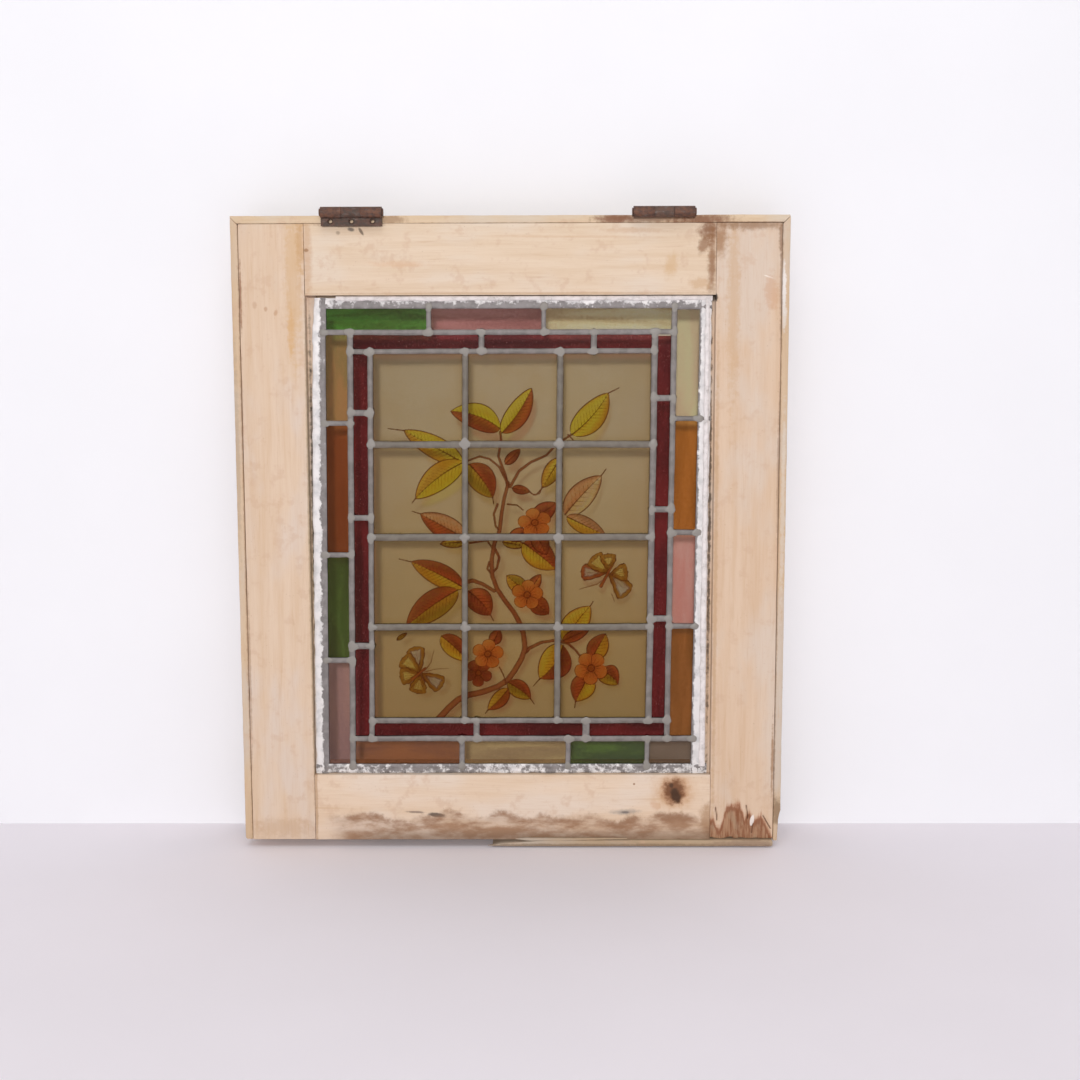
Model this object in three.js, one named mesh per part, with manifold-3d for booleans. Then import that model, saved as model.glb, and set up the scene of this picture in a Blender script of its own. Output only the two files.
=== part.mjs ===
// A painted and leaded stained glass window in a stripped pine sash, hung on two butt hinges.
// Millimetres. X is to the right, Y goes in through the window and Z is up.
// The origin is on the middle of the sash's top edge, and the glazed side faces -Y.
import * as THREE from 'three';
import { mergeVertices } from 'three/addons/utils/BufferGeometryUtils.js';
import Module from 'manifold-3d';

const wasm = await Module();
wasm.setup();

// Sash
const windowWidth = 560;
const sashDepth = 38;
const seamGap = 0.3;
const lippingThickness = 7.5;
const sightHalfWidth = 206.5;
const topRailFoot = -78.5;
const bottomRailHead = -573;
const sashFoot = -642.3;
const rebateDepth = 11;
const sideLedge = 10.5;
const headLedge = 9;
const footLedge = 8;
const roomChamfer = 5;
const arris = 0.8;

// Bottom lipping, which is broken off on the left
const brokenLippingFoot = -649;
const brokenLippingProud = 2.3;
const brokenLippingRight = 272.1;

// Leaded panel
const panelLean = 0.01;
const panelMiddle = -327;
const cameFront = -13.8;
const cameThickness = 5.4;
const glassThickness = 3;
const glassCover = 1.5;
const puttyBed = 0.4;

// Hinges
const hingeCentres = { left: -157.7, right: 153.5 };
const hingeLength = 61;
const barrelRadius = 5.5;
const pinRadius = 2.5;
const pinBore = 2.85;
const leafThickness = 2.6;
const leafReach = 13;
const halfLeafGap = 0.4;
const knuckleGap = 0.3;
const knuckleClearance = 0.4;
const middleKnuckleHalf = 9.5;
const housingDepth = 0.6;
const hangingAngle = 270;
const screwRadius = 1.8;
const screwHeadRadius = 3.1;
const screwSpacing = 21;
const screwLine = 8.6;

const halfWidth = windowWidth / 2;
const frontFace = -sashDepth / 2;
const backFace = sashDepth / 2;
const ledgeFront = frontFace + rebateDepth;
const sashHead = -lippingThickness - seamGap;
const sashSide = halfWidth - lippingThickness - seamGap;
const barrelY = frontFace - barrelRadius - seamGap;
const barrelZ = -housingDepth + seamGap + leafThickness + halfLeafGap;

const finishes = {
  pine: { color: 0xd9bd9b, roughness: 0.75, metalness: 0 },
  strippedEdge: { color: 0xcba578, roughness: 0.8, metalness: 0 },
  lead: { color: 0x9c9c9b, roughness: 0.55, metalness: 0.5 },
  putty: { color: 0xe6e3e2, roughness: 0.9, metalness: 0 },
  rustyIron: { color: 0x6b4f45, roughness: 0.8, metalness: 0.4 },
};

const part = new THREE.Group();
part.name = 'stained_glass_window';

function toSolid(geometry) {
  const bare = geometry.index ? geometry.toNonIndexed() : geometry.clone();
  bare.deleteAttribute('normal');
  bare.deleteAttribute('uv');
  const welded = mergeVertices(bare, 1e-5);
  return new wasm.Manifold(new wasm.Mesh({
    numProp: 3,
    vertProperties: new Float32Array(welded.attributes.position.array),
    triVerts: new Uint32Array(welded.index.array),
  }));
}

function addSolid(name, solid, finish) {
  const mesh = solid.getMesh();
  const geometry = new THREE.BufferGeometry();
  geometry.setAttribute('position', new THREE.BufferAttribute(mesh.vertProperties, 3));
  geometry.setIndex(new THREE.BufferAttribute(mesh.triVerts, 1));
  geometry.computeVertexNormals();
  const piece = new THREE.Mesh(geometry, new THREE.MeshStandardMaterial(finish));
  piece.name = name;
  part.add(piece);
}

function block(x0, x1, y0, y1, z0, z1) {
  const geometry = new THREE.BoxGeometry(x1 - x0, y1 - y0, z1 - z0);
  geometry.translate((x0 + x1) / 2, (y0 + y1) / 2, (z0 + z1) / 2);
  return toSolid(geometry);
}

function extrude(points, length) {
  const shape = new THREE.Shape(points.map(([a, b]) => new THREE.Vector2(a, b)));
  return new THREE.ExtrudeGeometry(shape, { depth: length, bevelEnabled: false });
}

// An outline in X and Z, cut out of a board that lies between two depths.
function cutout(points, y0, y1) {
  const geometry = extrude(points, y1 - y0);
  geometry.rotateX(Math.PI / 2);
  geometry.translate(0, y1, 0);
  return toSolid(geometry);
}

// A moulding that runs up: its section is in X and Y.
function upright(section, z0, z1) {
  const geometry = extrude(section, z1 - z0);
  geometry.translate(0, 0, z0);
  return toSolid(geometry);
}

// A moulding that runs across: its section is in Y and Z.
function crosswise(section, x0, x1) {
  const geometry = extrude(section, x1 - x0);
  const turn = new THREE.Matrix4().makeBasis(
    new THREE.Vector3(0, 1, 0),
    new THREE.Vector3(0, 0, 1),
    new THREE.Vector3(1, 0, 0),
  );
  geometry.applyMatrix4(turn);
  geometry.translate(x0, 0, 0);
  return toSolid(geometry);
}

// The stile's section, with its glazing rebate in front and a chamfer on the room side.
function stileSection(side, grow) {
  const inner = sightHalfWidth - grow;
  const ledge = sightHalfWidth - sideLedge - grow;
  const outer = sashSide + grow;
  const points = [
    [outer, frontFace - grow],
    [inner, frontFace - grow],
    [inner, ledgeFront - grow],
    [ledge, ledgeFront - grow],
    [ledge, backFace - roomChamfer],
    [ledge + roomChamfer, backFace + grow],
    [outer, backFace + grow],
  ];
  return points.map(([x, y]) => [side * x, y]);
}

function railSection(edge, sight, ledge) {
  const inward = Math.sign(ledge - edge);
  return [
    [frontFace, edge],
    [frontFace, sight],
    [ledgeFront, sight],
    [ledgeFront, ledge],
    [backFace - roomChamfer, ledge],
    [backFace, ledge - inward * roomChamfer],
    [backFace, edge],
  ];
}

for (const [name, side] of [['stile_left', -1], ['stile_right', 1]]) {
  addSolid(name, upright(stileSection(side, 0), sashFoot, sashHead), finishes.pine);
}

const rails = [
  ['rail_top', railSection(sashHead, topRailFoot, topRailFoot - headLedge)],
  ['rail_bottom', railSection(sashFoot, bottomRailHead, bottomRailHead + footLedge)],
];
for (const [name, section] of rails) {
  let rail = crosswise(section, -sashSide, sashSide);
  for (const side of [-1, 1]) {
    const scribe = upright(stileSection(side, seamGap), sashFoot - 1, sashHead + 1);
    rail = rail.subtract(scribe);
  }
  addSolid(name, rail, finishes.pine);
}

// Lipping strips nailed round the sash, mitred at the top corners
const mitreGap = seamGap * Math.SQRT2;
let topStrip = cutout([
  [-halfWidth, -arris],
  [-halfWidth + arris, 0],
  [halfWidth - arris, 0],
  [halfWidth, -arris],
  [halfWidth - lippingThickness + arris, -lippingThickness],
  [-halfWidth + lippingThickness - arris, -lippingThickness],
], frontFace, backFace);
for (const centre of Object.values(hingeCentres)) {
  const x0 = centre - hingeLength / 2 - knuckleClearance;
  const x1 = centre + hingeLength / 2 + knuckleClearance;
  const back = barrelY + leafReach + knuckleClearance;
  topStrip = topStrip.subtract(block(x0, x1, frontFace - 1, back, -housingDepth, 1));
}
addSolid('edge_strip_top', topStrip, finishes.strippedEdge);

addSolid('edge_strip_left', cutout([
  [-halfWidth, -arris - mitreGap],
  [-halfWidth, sashFoot + 2],
  [-halfWidth + 1.5, sashFoot + 0.4],
  [-halfWidth + lippingThickness, sashFoot],
  [-halfWidth + lippingThickness, -lippingThickness + arris - mitreGap - 2 * arris],
], frontFace, backFace), finishes.strippedEdge);

addSolid('edge_strip_right', cutout([
  [halfWidth, -arris - mitreGap],
  [halfWidth - lippingThickness, -lippingThickness - arris - mitreGap],
  [halfWidth - lippingThickness, sashFoot - 1.2],
  [halfWidth - 3.2, sashFoot - 1.2],
  [halfWidth - 2.4, -621],
  [halfWidth - 0.7, -613],
  [halfWidth, -611],
], frontFace, backFace), finishes.strippedEdge);

addSolid('edge_strip_bottom_broken', cutout([
  [-21, -647.4],
  [-9, -645.6],
  [8, -644.9],
  [24, -643.4],
  [44, sashFoot - seamGap],
  [brokenLippingRight - 1, sashFoot - seamGap],
  [brokenLippingRight, sashFoot - seamGap - 1.6],
  [brokenLippingRight, brokenLippingFoot + 1],
  [brokenLippingRight - 1, brokenLippingFoot],
  [-6, brokenLippingFoot],
  [-21, -648.4],
], frontFace - brokenLippingProud, backFace), finishes.strippedEdge);

// Glass. Each piece is its name, its left and right edge at mid-height, its top and its foot.
const outerRow = [-91.7, -112.5];
const innerRow = [-118.2, -131.8];
const lowerInnerRow = [-519.3, -532.6];
const lowerOuterRow = [-538.6, -562.6];
const outerLeft = [-189.2, -167.7];
const outerRight = [166.3, 188.6];
const innerLeft = [-161.4, -147.1];
const innerRight = [147.3, 160.3];
const borderGlass = [
  ['glass_top_green', [-188.3, -87.3], outerRow, 0x3f6a2c],
  ['glass_top_mauve', [-82.3, 29.2], outerRow, 0x8a6562],
  ['glass_top_pale', [33.7, 160.8], outerRow, 0xa39d7a],
  ['glass_right_pale', outerRight, [-93, -200.5], 0x9b9276],
  ['glass_right_amber', outerRight, [-205.4, -316.6], 0x84581f],
  ['glass_right_pink', outerRight, [-322.3, -414], 0x9a7672],
  ['glass_right_brown', outerRight, [-419.4, -534.3], 0x785226],
  ['glass_bottom_brown', [-161.3, -53.3], lowerOuterRow, 0x765340],
  ['glass_bottom_olive', [-47.8, 57.7], lowerOuterRow, 0x8a7c5c],
  ['glass_bottom_green', [62.7, 140.2], lowerOuterRow, 0x4b5a34],
  ['glass_bottom_grey', [145.2, 188.2], lowerOuterRow, 0x6d6054],
  ['glass_left_olive', outerLeft, [-119.5, -204.5], 0x84704a],
  ['glass_left_brown', outerLeft, [-209.7, -339.5], 0x6f4225],
  ['glass_left_green', outerLeft, [-344.7, -449.6], 0x465227],
  ['glass_left_mauve', outerLeft, [-455.4, -562.6], 0x7f6763],
];
const rubyGlass = [
  ['ruby_top_1', [-160.5, -34.5], innerRow],
  ['ruby_top_2', [-28.5, 79], innerRow],
  ['ruby_top_3', [85.5, 142], innerRow],
  ['ruby_right_1', innerRight, [-120.8, -178.8]],
  ['ruby_right_2', innerRight, [-185.2, -292.6]],
  ['ruby_right_3', innerRight, [-298.6, -405.6]],
  ['ruby_right_4', innerRight, [-412, -513.6]],
  ['ruby_bottom_1', [-141, -38.5], lowerInnerRow],
  ['ruby_bottom_2', [-32, 75], lowerInnerRow],
  ['ruby_bottom_3', [82.5, 160.5], lowerInnerRow],
  ['ruby_left_1', innerLeft, [-137.6, -193.2]],
  ['ruby_left_2', innerLeft, [-199.7, -300.9]],
  ['ruby_left_3', innerLeft, [-306.8, -434]],
  ['ruby_left_4', innerLeft, [-440.6, -532.8]],
];
const paneColumns = [['left', [-141.5, -50.9]], ['middle', [-44.7, 45.2]], ['right', [51.6, 140.5]]];
const paneRows = [[-136.8, -225.3], [-232.4, -320.4], [-327.6, -414.2], [-421, -513.5]];

const glassPieces = [];
for (const [name, across, down, color] of borderGlass) {
  glassPieces.push({ name, across, down, finish: { color, roughness: 0.2, metalness: 0 } });
}
for (const [name, across, down] of rubyGlass) {
  glassPieces.push({ name, across, down, finish: { color: 0x5c1a1c, roughness: 0.2, metalness: 0 } });
}
paneRows.forEach((down, row) => {
  for (const [column, across] of paneColumns) {
    const name = `painted_pane_${row + 1}_${column}`;
    glassPieces.push({ name, across, down, finish: { color: 0xc6b48a, roughness: 0.3, metalness: 0 } });
  }
});

// The panel leans slightly, so its uprights are not square to its rails.
function lean(x, z) {
  return x + panelLean * (z - panelMiddle);
}

function paneOutline(piece, cover) {
  const [left, right] = [piece.across[0] - cover, piece.across[1] + cover];
  const [top, foot] = [piece.down[0] + cover, piece.down[1] - cover];
  return [
    [lean(left, foot), foot],
    [lean(right, foot), foot],
    [lean(right, top), top],
    [lean(left, top), top],
  ];
}

const cameBack = cameFront + cameThickness;
const cameMiddle = (cameFront + cameBack) / 2;
const glassFront = cameMiddle - glassThickness / 2;
const glassBack = cameMiddle + glassThickness / 2;
const openings = [];
for (const piece of glassPieces) {
  openings.push(cutout(paneOutline(piece, 0), cameFront - 1, cameBack + 1));
  const pocket = paneOutline(piece, glassCover + puttyBed);
  openings.push(cutout(pocket, glassFront - seamGap, glassBack + seamGap));
  addSolid(piece.name, cutout(paneOutline(piece, glassCover), glassFront, glassBack), piece.finish);
}

const leadPlate = cutout([
  [-197.6, -80.8],
  [-200.2, -112],
  [-201.8, -190],
  [-203.6, -300],
  [-204.3, -420],
  [-205.2, -572.5],
  [203, -572.5],
  [204, -420],
  [204.2, -300],
  [203.2, -82],
  [60, -80.9],
], cameFront, cameBack);
addSolid('lead_came', leadPlate.subtract(wasm.Manifold.union(openings)), finishes.lead);

// What is left of the putty: a bead under the top rail and down the right stile.
const puttyFront = cameFront - seamGap - 2.4;
addSolid('putty_remnant', cutout([
  [-176, -79],
  [-171, -84.4],
  [-60, -85.8],
  [48, -84.2],
  [150, -87],
  [196.4, -89],
  [196.8, -300],
  [195.6, -440],
  [194.4, -560],
  [199, -566],
  [205.8, -564],
  [206, -79],
], puttyFront, cameFront - seamGap), finishes.putty);

// Hinges
function barrel(x0, x1, radius) {
  const outline = [
    new THREE.Vector2(0, x0),
    new THREE.Vector2(radius, x0),
    new THREE.Vector2(radius, x1),
    new THREE.Vector2(0, x1),
  ];
  const geometry = new THREE.LatheGeometry(outline, 36);
  geometry.rotateZ(-Math.PI / 2);
  geometry.translate(0, barrelY, barrelZ);
  return toSolid(geometry);
}

// A countersunk hole whose wide mouth is on the leaf's inner face.
function screwHole(x, mouthZ, awayZ) {
  const down = Math.sign(awayZ - mouthZ);
  const outline = [
    new THREE.Vector2(0, -1),
    new THREE.Vector2(screwHeadRadius, -1),
    new THREE.Vector2(screwHeadRadius, 0.2),
    new THREE.Vector2(screwRadius, 1.5),
    new THREE.Vector2(screwRadius, leafThickness + 1),
    new THREE.Vector2(0, leafThickness + 1),
  ];
  const geometry = new THREE.LatheGeometry(outline, 20);
  geometry.rotateX(down * Math.PI / 2);
  geometry.translate(x, barrelY + screwLine, mouthZ);
  return toSolid(geometry);
}

function hingeLeaf(centre, above, ownSpans, otherSpans) {
  const inner = barrelZ + above * halfLeafGap;
  const outer = inner + above * leafThickness;
  const x0 = centre - hingeLength / 2;
  const x1 = centre + hingeLength / 2;
  let leaf = block(x0, x1, barrelY, barrelY + leafReach, Math.min(inner, outer), Math.max(inner, outer));
  for (const x of [-screwSpacing, 0, screwSpacing]) {
    leaf = leaf.subtract(screwHole(centre + x, inner, outer));
  }
  for (const [a, b] of otherSpans) {
    leaf = leaf.subtract(barrel(centre + a, centre + b, barrelRadius + knuckleClearance));
  }
  for (const [a, b] of ownSpans) {
    leaf = leaf.add(barrel(centre + a, centre + b, barrelRadius));
  }
  return leaf.subtract(barrel(x0 - 1, x1 + 1, pinBore));
}

for (const [side, centre] of Object.entries(hingeCentres)) {
  const end = hingeLength / 2;
  const middle = middleKnuckleHalf;
  const sashSpans = [[-end, -middle - knuckleGap], [middle + knuckleGap, end]];
  const looseSpans = [[-middle, middle]];
  const nextToSash = [[-middle - knuckleGap, middle + knuckleGap]];
  const nextToLoose = [[-end - 1, -middle], [middle, end + 1]];
  addSolid(`hinge_${side}_sash_leaf`, hingeLeaf(centre, -1, sashSpans, nextToSash), finishes.rustyIron);

  let loose = hingeLeaf(centre, 1, looseSpans, nextToLoose);
  if (side === 'left') {
    loose = loose.translate([0, -barrelY, -barrelZ]);
    loose = loose.rotate([hangingAngle, 0, 0]);
    loose = loose.translate([0, barrelY, barrelZ]);
  }
  addSolid(`hinge_${side}_loose_leaf`, loose, finishes.rustyIron);

  const head = pinRadius + 1.3;
  let pin = barrel(centre - end - 1.4, centre + end + 1.4, pinRadius);
  pin = pin.add(barrel(centre - end - 1.4, centre - end - knuckleGap, head));
  pin = pin.add(barrel(centre + end + knuckleGap, centre + end + 1.4, head));
  addSolid(`hinge_${side}_pin`, pin, finishes.rustyIron);
}

export default part;
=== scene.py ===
import math

import bpy
import bmesh
import numpy as np
from mathutils import Matrix, Vector, noise


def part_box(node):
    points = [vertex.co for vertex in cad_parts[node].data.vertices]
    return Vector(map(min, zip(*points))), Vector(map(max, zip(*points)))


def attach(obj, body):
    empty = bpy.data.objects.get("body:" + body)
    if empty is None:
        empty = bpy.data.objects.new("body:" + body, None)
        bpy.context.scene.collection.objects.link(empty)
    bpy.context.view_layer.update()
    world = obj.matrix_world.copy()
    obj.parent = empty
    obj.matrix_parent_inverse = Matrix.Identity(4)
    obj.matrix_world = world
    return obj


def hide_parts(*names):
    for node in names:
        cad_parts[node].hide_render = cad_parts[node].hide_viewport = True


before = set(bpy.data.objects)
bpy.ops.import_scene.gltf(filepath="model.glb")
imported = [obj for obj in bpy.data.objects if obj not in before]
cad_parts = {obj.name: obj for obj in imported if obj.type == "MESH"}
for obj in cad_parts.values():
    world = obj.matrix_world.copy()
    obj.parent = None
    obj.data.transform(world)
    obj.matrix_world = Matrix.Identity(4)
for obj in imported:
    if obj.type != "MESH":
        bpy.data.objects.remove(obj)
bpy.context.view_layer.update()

mm = 0.001
front_of_wood = -19.0
panel_lean = 0.01
panel_middle = -327.0
glass_front = -12.6
glass_back = -9.6


def lean(x, z):
    """The panel sits a little askew, so its uprights lean."""
    return x + panel_lean * (z - panel_middle)


def hue(code, dim=1.0):
    parts = [int(code[i : i + 2], 16) / 255 for i in (1, 3, 5)]
    straight = [p / 12.92 if p <= 0.04045 else ((p + 0.055) / 1.055) ** 2.4 for p in parts]
    return (*[dim * p for p in straight], 1.0)


# ---------------------------------------------------------------- working on a piece
def deselect():
    for o in list(bpy.context.selected_objects):
        o.select_set(False)


def take_up(piece):
    """Makes this piece the only one selected."""
    deselect()
    piece.select_set(True)
    bpy.context.view_layer.objects.active = piece


def open_mesh(piece):
    take_up(piece)
    bpy.ops.object.mode_set(mode="EDIT")
    bpy.ops.mesh.select_all(action="SELECT")


def close_mesh():
    bpy.ops.object.mode_set(mode="OBJECT")


def choose(piece, kind, test):
    """Selects only the faces or edges that pass the test, in edit mode."""
    bpy.ops.mesh.select_all(action="DESELECT")
    bpy.ops.mesh.select_mode(type="FACE" if kind == "faces" else "EDGE")
    made = bmesh.from_edit_mesh(piece.data)
    for part in getattr(made, kind):
        if test(part):
            part.select_set(True)
    bmesh.update_edit_mesh(piece.data)


def corners(piece):
    """Every vertex, as rows of millimetres."""
    flat = np.zeros(len(piece.data.vertices) * 3)
    piece.data.vertices.foreach_get("co", flat)
    return flat.reshape(-1, 3) / mm


def reshape(piece, points):
    piece.data.vertices.foreach_set("co", (points * mm).astype(np.float32).ravel())
    piece.data.update()


def note(piece, name, values):
    """Writes a number for every vertex, which a finish can read."""
    made = piece.data.attributes.get(name) or piece.data.attributes.new(name, "FLOAT", "POINT")
    made.data.foreach_set("value", np.asarray(values, np.float32))


def waver(points, size, seed=0.0):
    """Smooth noise vectors, one for each point. size is how far apart its lumps are."""
    shift = Vector((seed * 7.3, seed * 3.1, seed * 5.7))
    return np.array([noise.noise_vector(Vector(p) / size + shift) for p in points])


def ripple(values, size, seed=0.0):
    """Smooth noise along a line."""
    return np.array([noise.noise((v / size, seed * 9.17, seed * 4.3)) for v in values])


def fit_out(piece, body, finish, nodes=(), smooth=35):
    """Gives a finished piece its finish, its body and the nodes it stands for."""
    piece.data.materials.clear()
    piece.data.materials.append(finish)
    take_up(piece)
    if smooth:
        bpy.ops.object.shade_smooth_by_angle(angle=math.radians(smooth))
    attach(piece, body)
    if nodes:
        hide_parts(*nodes)
    return piece


def own_copy(piece, name):
    made = bpy.data.objects.new(name, piece.data.copy())
    bpy.context.scene.collection.objects.link(made)
    return made


def outwards(piece):
    """Turns every face outwards, after copies of a bar have been laid the other way round."""
    open_mesh(piece)
    bpy.ops.mesh.normals_make_consistent(inside=False)
    close_mesh()
    return piece


def joined(pieces, name):
    deselect()
    for p in pieces:
        p.select_set(True)
    bpy.context.view_layer.objects.active = pieces[0]
    bpy.ops.object.join()
    pieces[0].name = name
    pieces[0].data.name = name
    return pieces[0]


def from_node(node, name):
    """A welded copy of a CAD node, with its flat faces made whole again."""
    made = own_copy(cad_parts[node], name)
    made.data.materials.clear()
    open_mesh(made)
    bpy.ops.mesh.customdata_custom_splitnormals_clear()
    bpy.ops.mesh.remove_doubles(threshold=0.000002)
    bpy.ops.mesh.dissolve_limited(angle_limit=math.radians(0.5))
    close_mesh()
    return made


# ---------------------------------------------------------------- finishes
class Finish:
    """A material, and short names for the nodes that it is made of."""

    def __init__(self, name):
        self.material = bpy.data.materials.new(name)
        self.material.use_nodes = True
        self.tree = self.material.node_tree
        self.tree.nodes.clear()
        self.place = self.add("ShaderNodeTexCoord").outputs["Object"]

    def add(self, kind, **settings):
        made = self.tree.nodes.new(kind)
        for key, value in settings.items():
            setattr(made, key, value)
        return made

    def feed(self, socket, value):
        if isinstance(value, bpy.types.NodeSocket):
            self.tree.links.new(value, socket)
        else:
            socket.default_value = value

    def stretched(self, x, y, z):
        made = self.add("ShaderNodeMapping")
        self.feed(made.inputs["Vector"], self.place)
        made.inputs["Scale"].default_value = (x, y, z)
        return made.outputs["Vector"]

    def cloud(self, vector, scale, detail=3.0, roughness=0.55, distortion=0.0):
        made = self.add("ShaderNodeTexNoise")
        self.feed(made.inputs["Vector"], vector)
        made.inputs["Scale"].default_value = scale
        made.inputs["Detail"].default_value = detail
        made.inputs["Roughness"].default_value = roughness
        made.inputs["Distortion"].default_value = distortion
        return made.outputs["Fac"]

    def cells(self, vector, scale, feature="F1"):
        made = self.add("ShaderNodeTexVoronoi", feature=feature)
        self.feed(made.inputs["Vector"], vector)
        made.inputs["Scale"].default_value = scale
        return made.outputs["Distance"]

    def calc(self, operation, a, b=0.0):
        made = self.add("ShaderNodeMath", operation=operation)
        self.feed(made.inputs[0], a)
        self.feed(made.inputs[1], b)
        return made.outputs[0]

    def between(self, value, low, high, least=0.0, most=1.0):
        made = self.add("ShaderNodeMapRange", interpolation_type="SMOOTHSTEP")
        self.feed(made.inputs["Value"], value)
        made.inputs["From Min"].default_value = low
        made.inputs["From Max"].default_value = high
        made.inputs["To Min"].default_value = least
        made.inputs["To Max"].default_value = most
        return made.outputs["Result"]

    def blend(self, share, a, b, kind="MIX"):
        made = self.add("ShaderNodeMix", data_type="RGBA", blend_type=kind)
        self.feed(made.inputs[0], share)
        self.feed(made.inputs[6], a)
        self.feed(made.inputs[7], b)
        return made.outputs[2]

    def written(self, name, colour=False):
        made = self.add("ShaderNodeAttribute", attribute_name=name)
        return made.outputs["Color" if colour else "Fac"]

    def relief(self, height, depth_mm, strength=1.0):
        made = self.add("ShaderNodeBump")
        made.inputs["Strength"].default_value = strength
        made.inputs["Distance"].default_value = depth_mm * mm
        self.feed(made.inputs["Height"], height)
        return made.outputs["Normal"]

    def tint(self, tone, gain, power):
        """What a face of the glass lets through, so that this tone is left when light has gone out and back."""
        lit = self.add("ShaderNodeVectorMath", operation="MULTIPLY")
        self.feed(lit.inputs[0], tone)
        lit.inputs[1].default_value = gain
        capped = self.add("ShaderNodeVectorMath", operation="MINIMUM")
        self.tree.links.new(lit.outputs[0], capped.inputs[0])
        capped.inputs[1].default_value = (1, 1, 1)
        thinned = self.add("ShaderNodeGamma")
        self.tree.links.new(capped.outputs[0], thinned.inputs["Color"])
        thinned.inputs["Gamma"].default_value = power
        return thinned.outputs[0]

    def pane(self, tone, through, body_share, gloss, normal):
        """Glass that light goes through. body_share is how much of the glass itself is seen."""
        clear = self.add("ShaderNodeBsdfTransparent")
        self.feed(clear.inputs["Color"], through)
        mixed = self.add("ShaderNodeMixShader")
        mixed.inputs[0].default_value = body_share
        self.tree.links.new(clear.outputs[0], mixed.inputs[1])
        self.tree.links.new(self.solid(tone, gloss, normal, specular=0.15), mixed.inputs[2])
        return self.done(mixed.outputs[0])

    def axis(self, which):
        made = self.add("ShaderNodeSeparateXYZ")
        self.feed(made.inputs[0], self.place)
        return made.outputs[which]

    def spot(self, x, z, wide, high, turn=0.0, ragged=0.6, soft=0.3, edge=None, deep=16.0):
        """1 inside a ragged oval mark on the glazed side and 0 outside it."""
        made = self.add("ShaderNodeMapping", vector_type="TEXTURE")
        self.feed(made.inputs["Vector"], self.place)
        made.inputs["Location"].default_value = (x * mm, front_of_wood * mm, z * mm)
        made.inputs["Rotation"].default_value = (0, math.radians(turn), 0)
        made.inputs["Scale"].default_value = (wide * mm, deep * mm, high * mm)
        size = self.add("ShaderNodeVectorMath", operation="LENGTH")
        self.feed(size.inputs[0], made.outputs["Vector"])
        if edge is None:
            edge = self.cloud(self.place, 160, 4, 0.65)
        uneven = self.calc("MULTIPLY", self.calc("SUBTRACT", edge, 0.5), 2.6 * ragged)
        return self.between(self.calc("ADD", size.outputs["Value"], uneven), 1 + soft, 1 - soft)

    def done(self, surface):
        out = self.add("ShaderNodeOutputMaterial")
        self.tree.links.new(surface, out.inputs["Surface"])
        return self.material

    def solid(self, colour, roughness, normal=None, metallic=0.0, specular=0.5):
        made = self.add("ShaderNodeBsdfPrincipled")
        self.feed(made.inputs["Base Color"], colour)
        self.feed(made.inputs["Roughness"], roughness)
        made.inputs["Metallic"].default_value = metallic
        made.inputs["Specular IOR Level"].default_value = specular
        if normal is not None:
            self.feed(made.inputs["Normal"], normal)
        return made.outputs["BSDF"]


def pine(name, run, pale, warm, grey, marks=(), worn=None, seed=0.0):
    """Stripped pine. run is the way its grain goes. marks are spots: their place, size and tone. Most are stains, knots
    and holes; some are painted shade in crevices and along edges, and painted shadow round a hinge.
    """
    f = Finish(name)
    along = {"x": (0.05, 1, 1), "z": (1, 1, 0.05), "y": (1, 0.05, 1)}[run]
    shifted = f.add("ShaderNodeMapping")
    f.feed(shifted.inputs["Vector"], f.place)
    shifted.inputs["Location"].default_value = (seed, seed * 0.7, seed * 0.4)
    shifted.inputs["Scale"].default_value = along
    grain = shifted.outputs["Vector"]
    streak = f.cloud(grain, 120, 3, 0.55, 0.3)
    fine = f.cloud(grain, 800, 3, 0.6)
    broad = f.cloud(f.stretched(*[0.35 + 0.65 * a for a in along]), 26, 3, 0.5)
    edge = f.cloud(f.place, 160, 4, 0.65)
    colour = f.blend(f.between(streak, 0.34, 0.74, 0.0, 0.55), hue(pale), hue(warm))
    colour = f.blend(f.between(broad, 0.44, 0.66, 0.0, 0.8), colour, hue(grey))
    pencil = f.between(f.cloud(grain, 330, 2, 0.5, 0.8), 0.6, 0.76, 0.0, 0.3)
    colour = f.blend(pencil, colour, hue("#c39f7c"))
    colour = f.blend(f.between(fine, 0.4, 0.75, 0.0, 0.16), colour, hue("#c39a75"))
    fleck = f.between(f.cloud(f.stretched(1, 1, 1), 520, 2, 0.4), 0.69, 0.78, 0.0, 0.38)
    colour = f.blend(fleck, colour, hue("#a37f60"))
    smudge = f.between(f.cloud(f.place, 75, 3, 0.6), 0.54, 0.7, 0.0, 0.4)
    colour = f.blend(smudge, colour, hue("#c9a78c"))
    for x, z, wide, high, turn, tone, strength, ragged, soft in marks:
        mark = f.calc("MULTIPLY", f.spot(x, z, wide, high, turn, ragged, soft, edge), strength)
        colour = f.blend(mark, colour, hue(tone))
    rough = f.between(streak, 0.3, 0.7, 0.62, 0.8)
    height = f.calc("ADD", f.calc("MULTIPLY", fine, 0.6), f.calc("MULTIPLY", edge, 0.4))
    if worn is not None:
        colour, height = worn(f, colour, height, edge, grain)
    return f.done(f.solid(colour, rough, f.relief(height, 0.22, 0.6), specular=0.25))


border_gain = (3.3, 3.4, 3.5)  # lifts each tone before it is thinned, because light crosses the glass several times
border_body = 0.18  # how much of the border glass itself is seen


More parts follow.
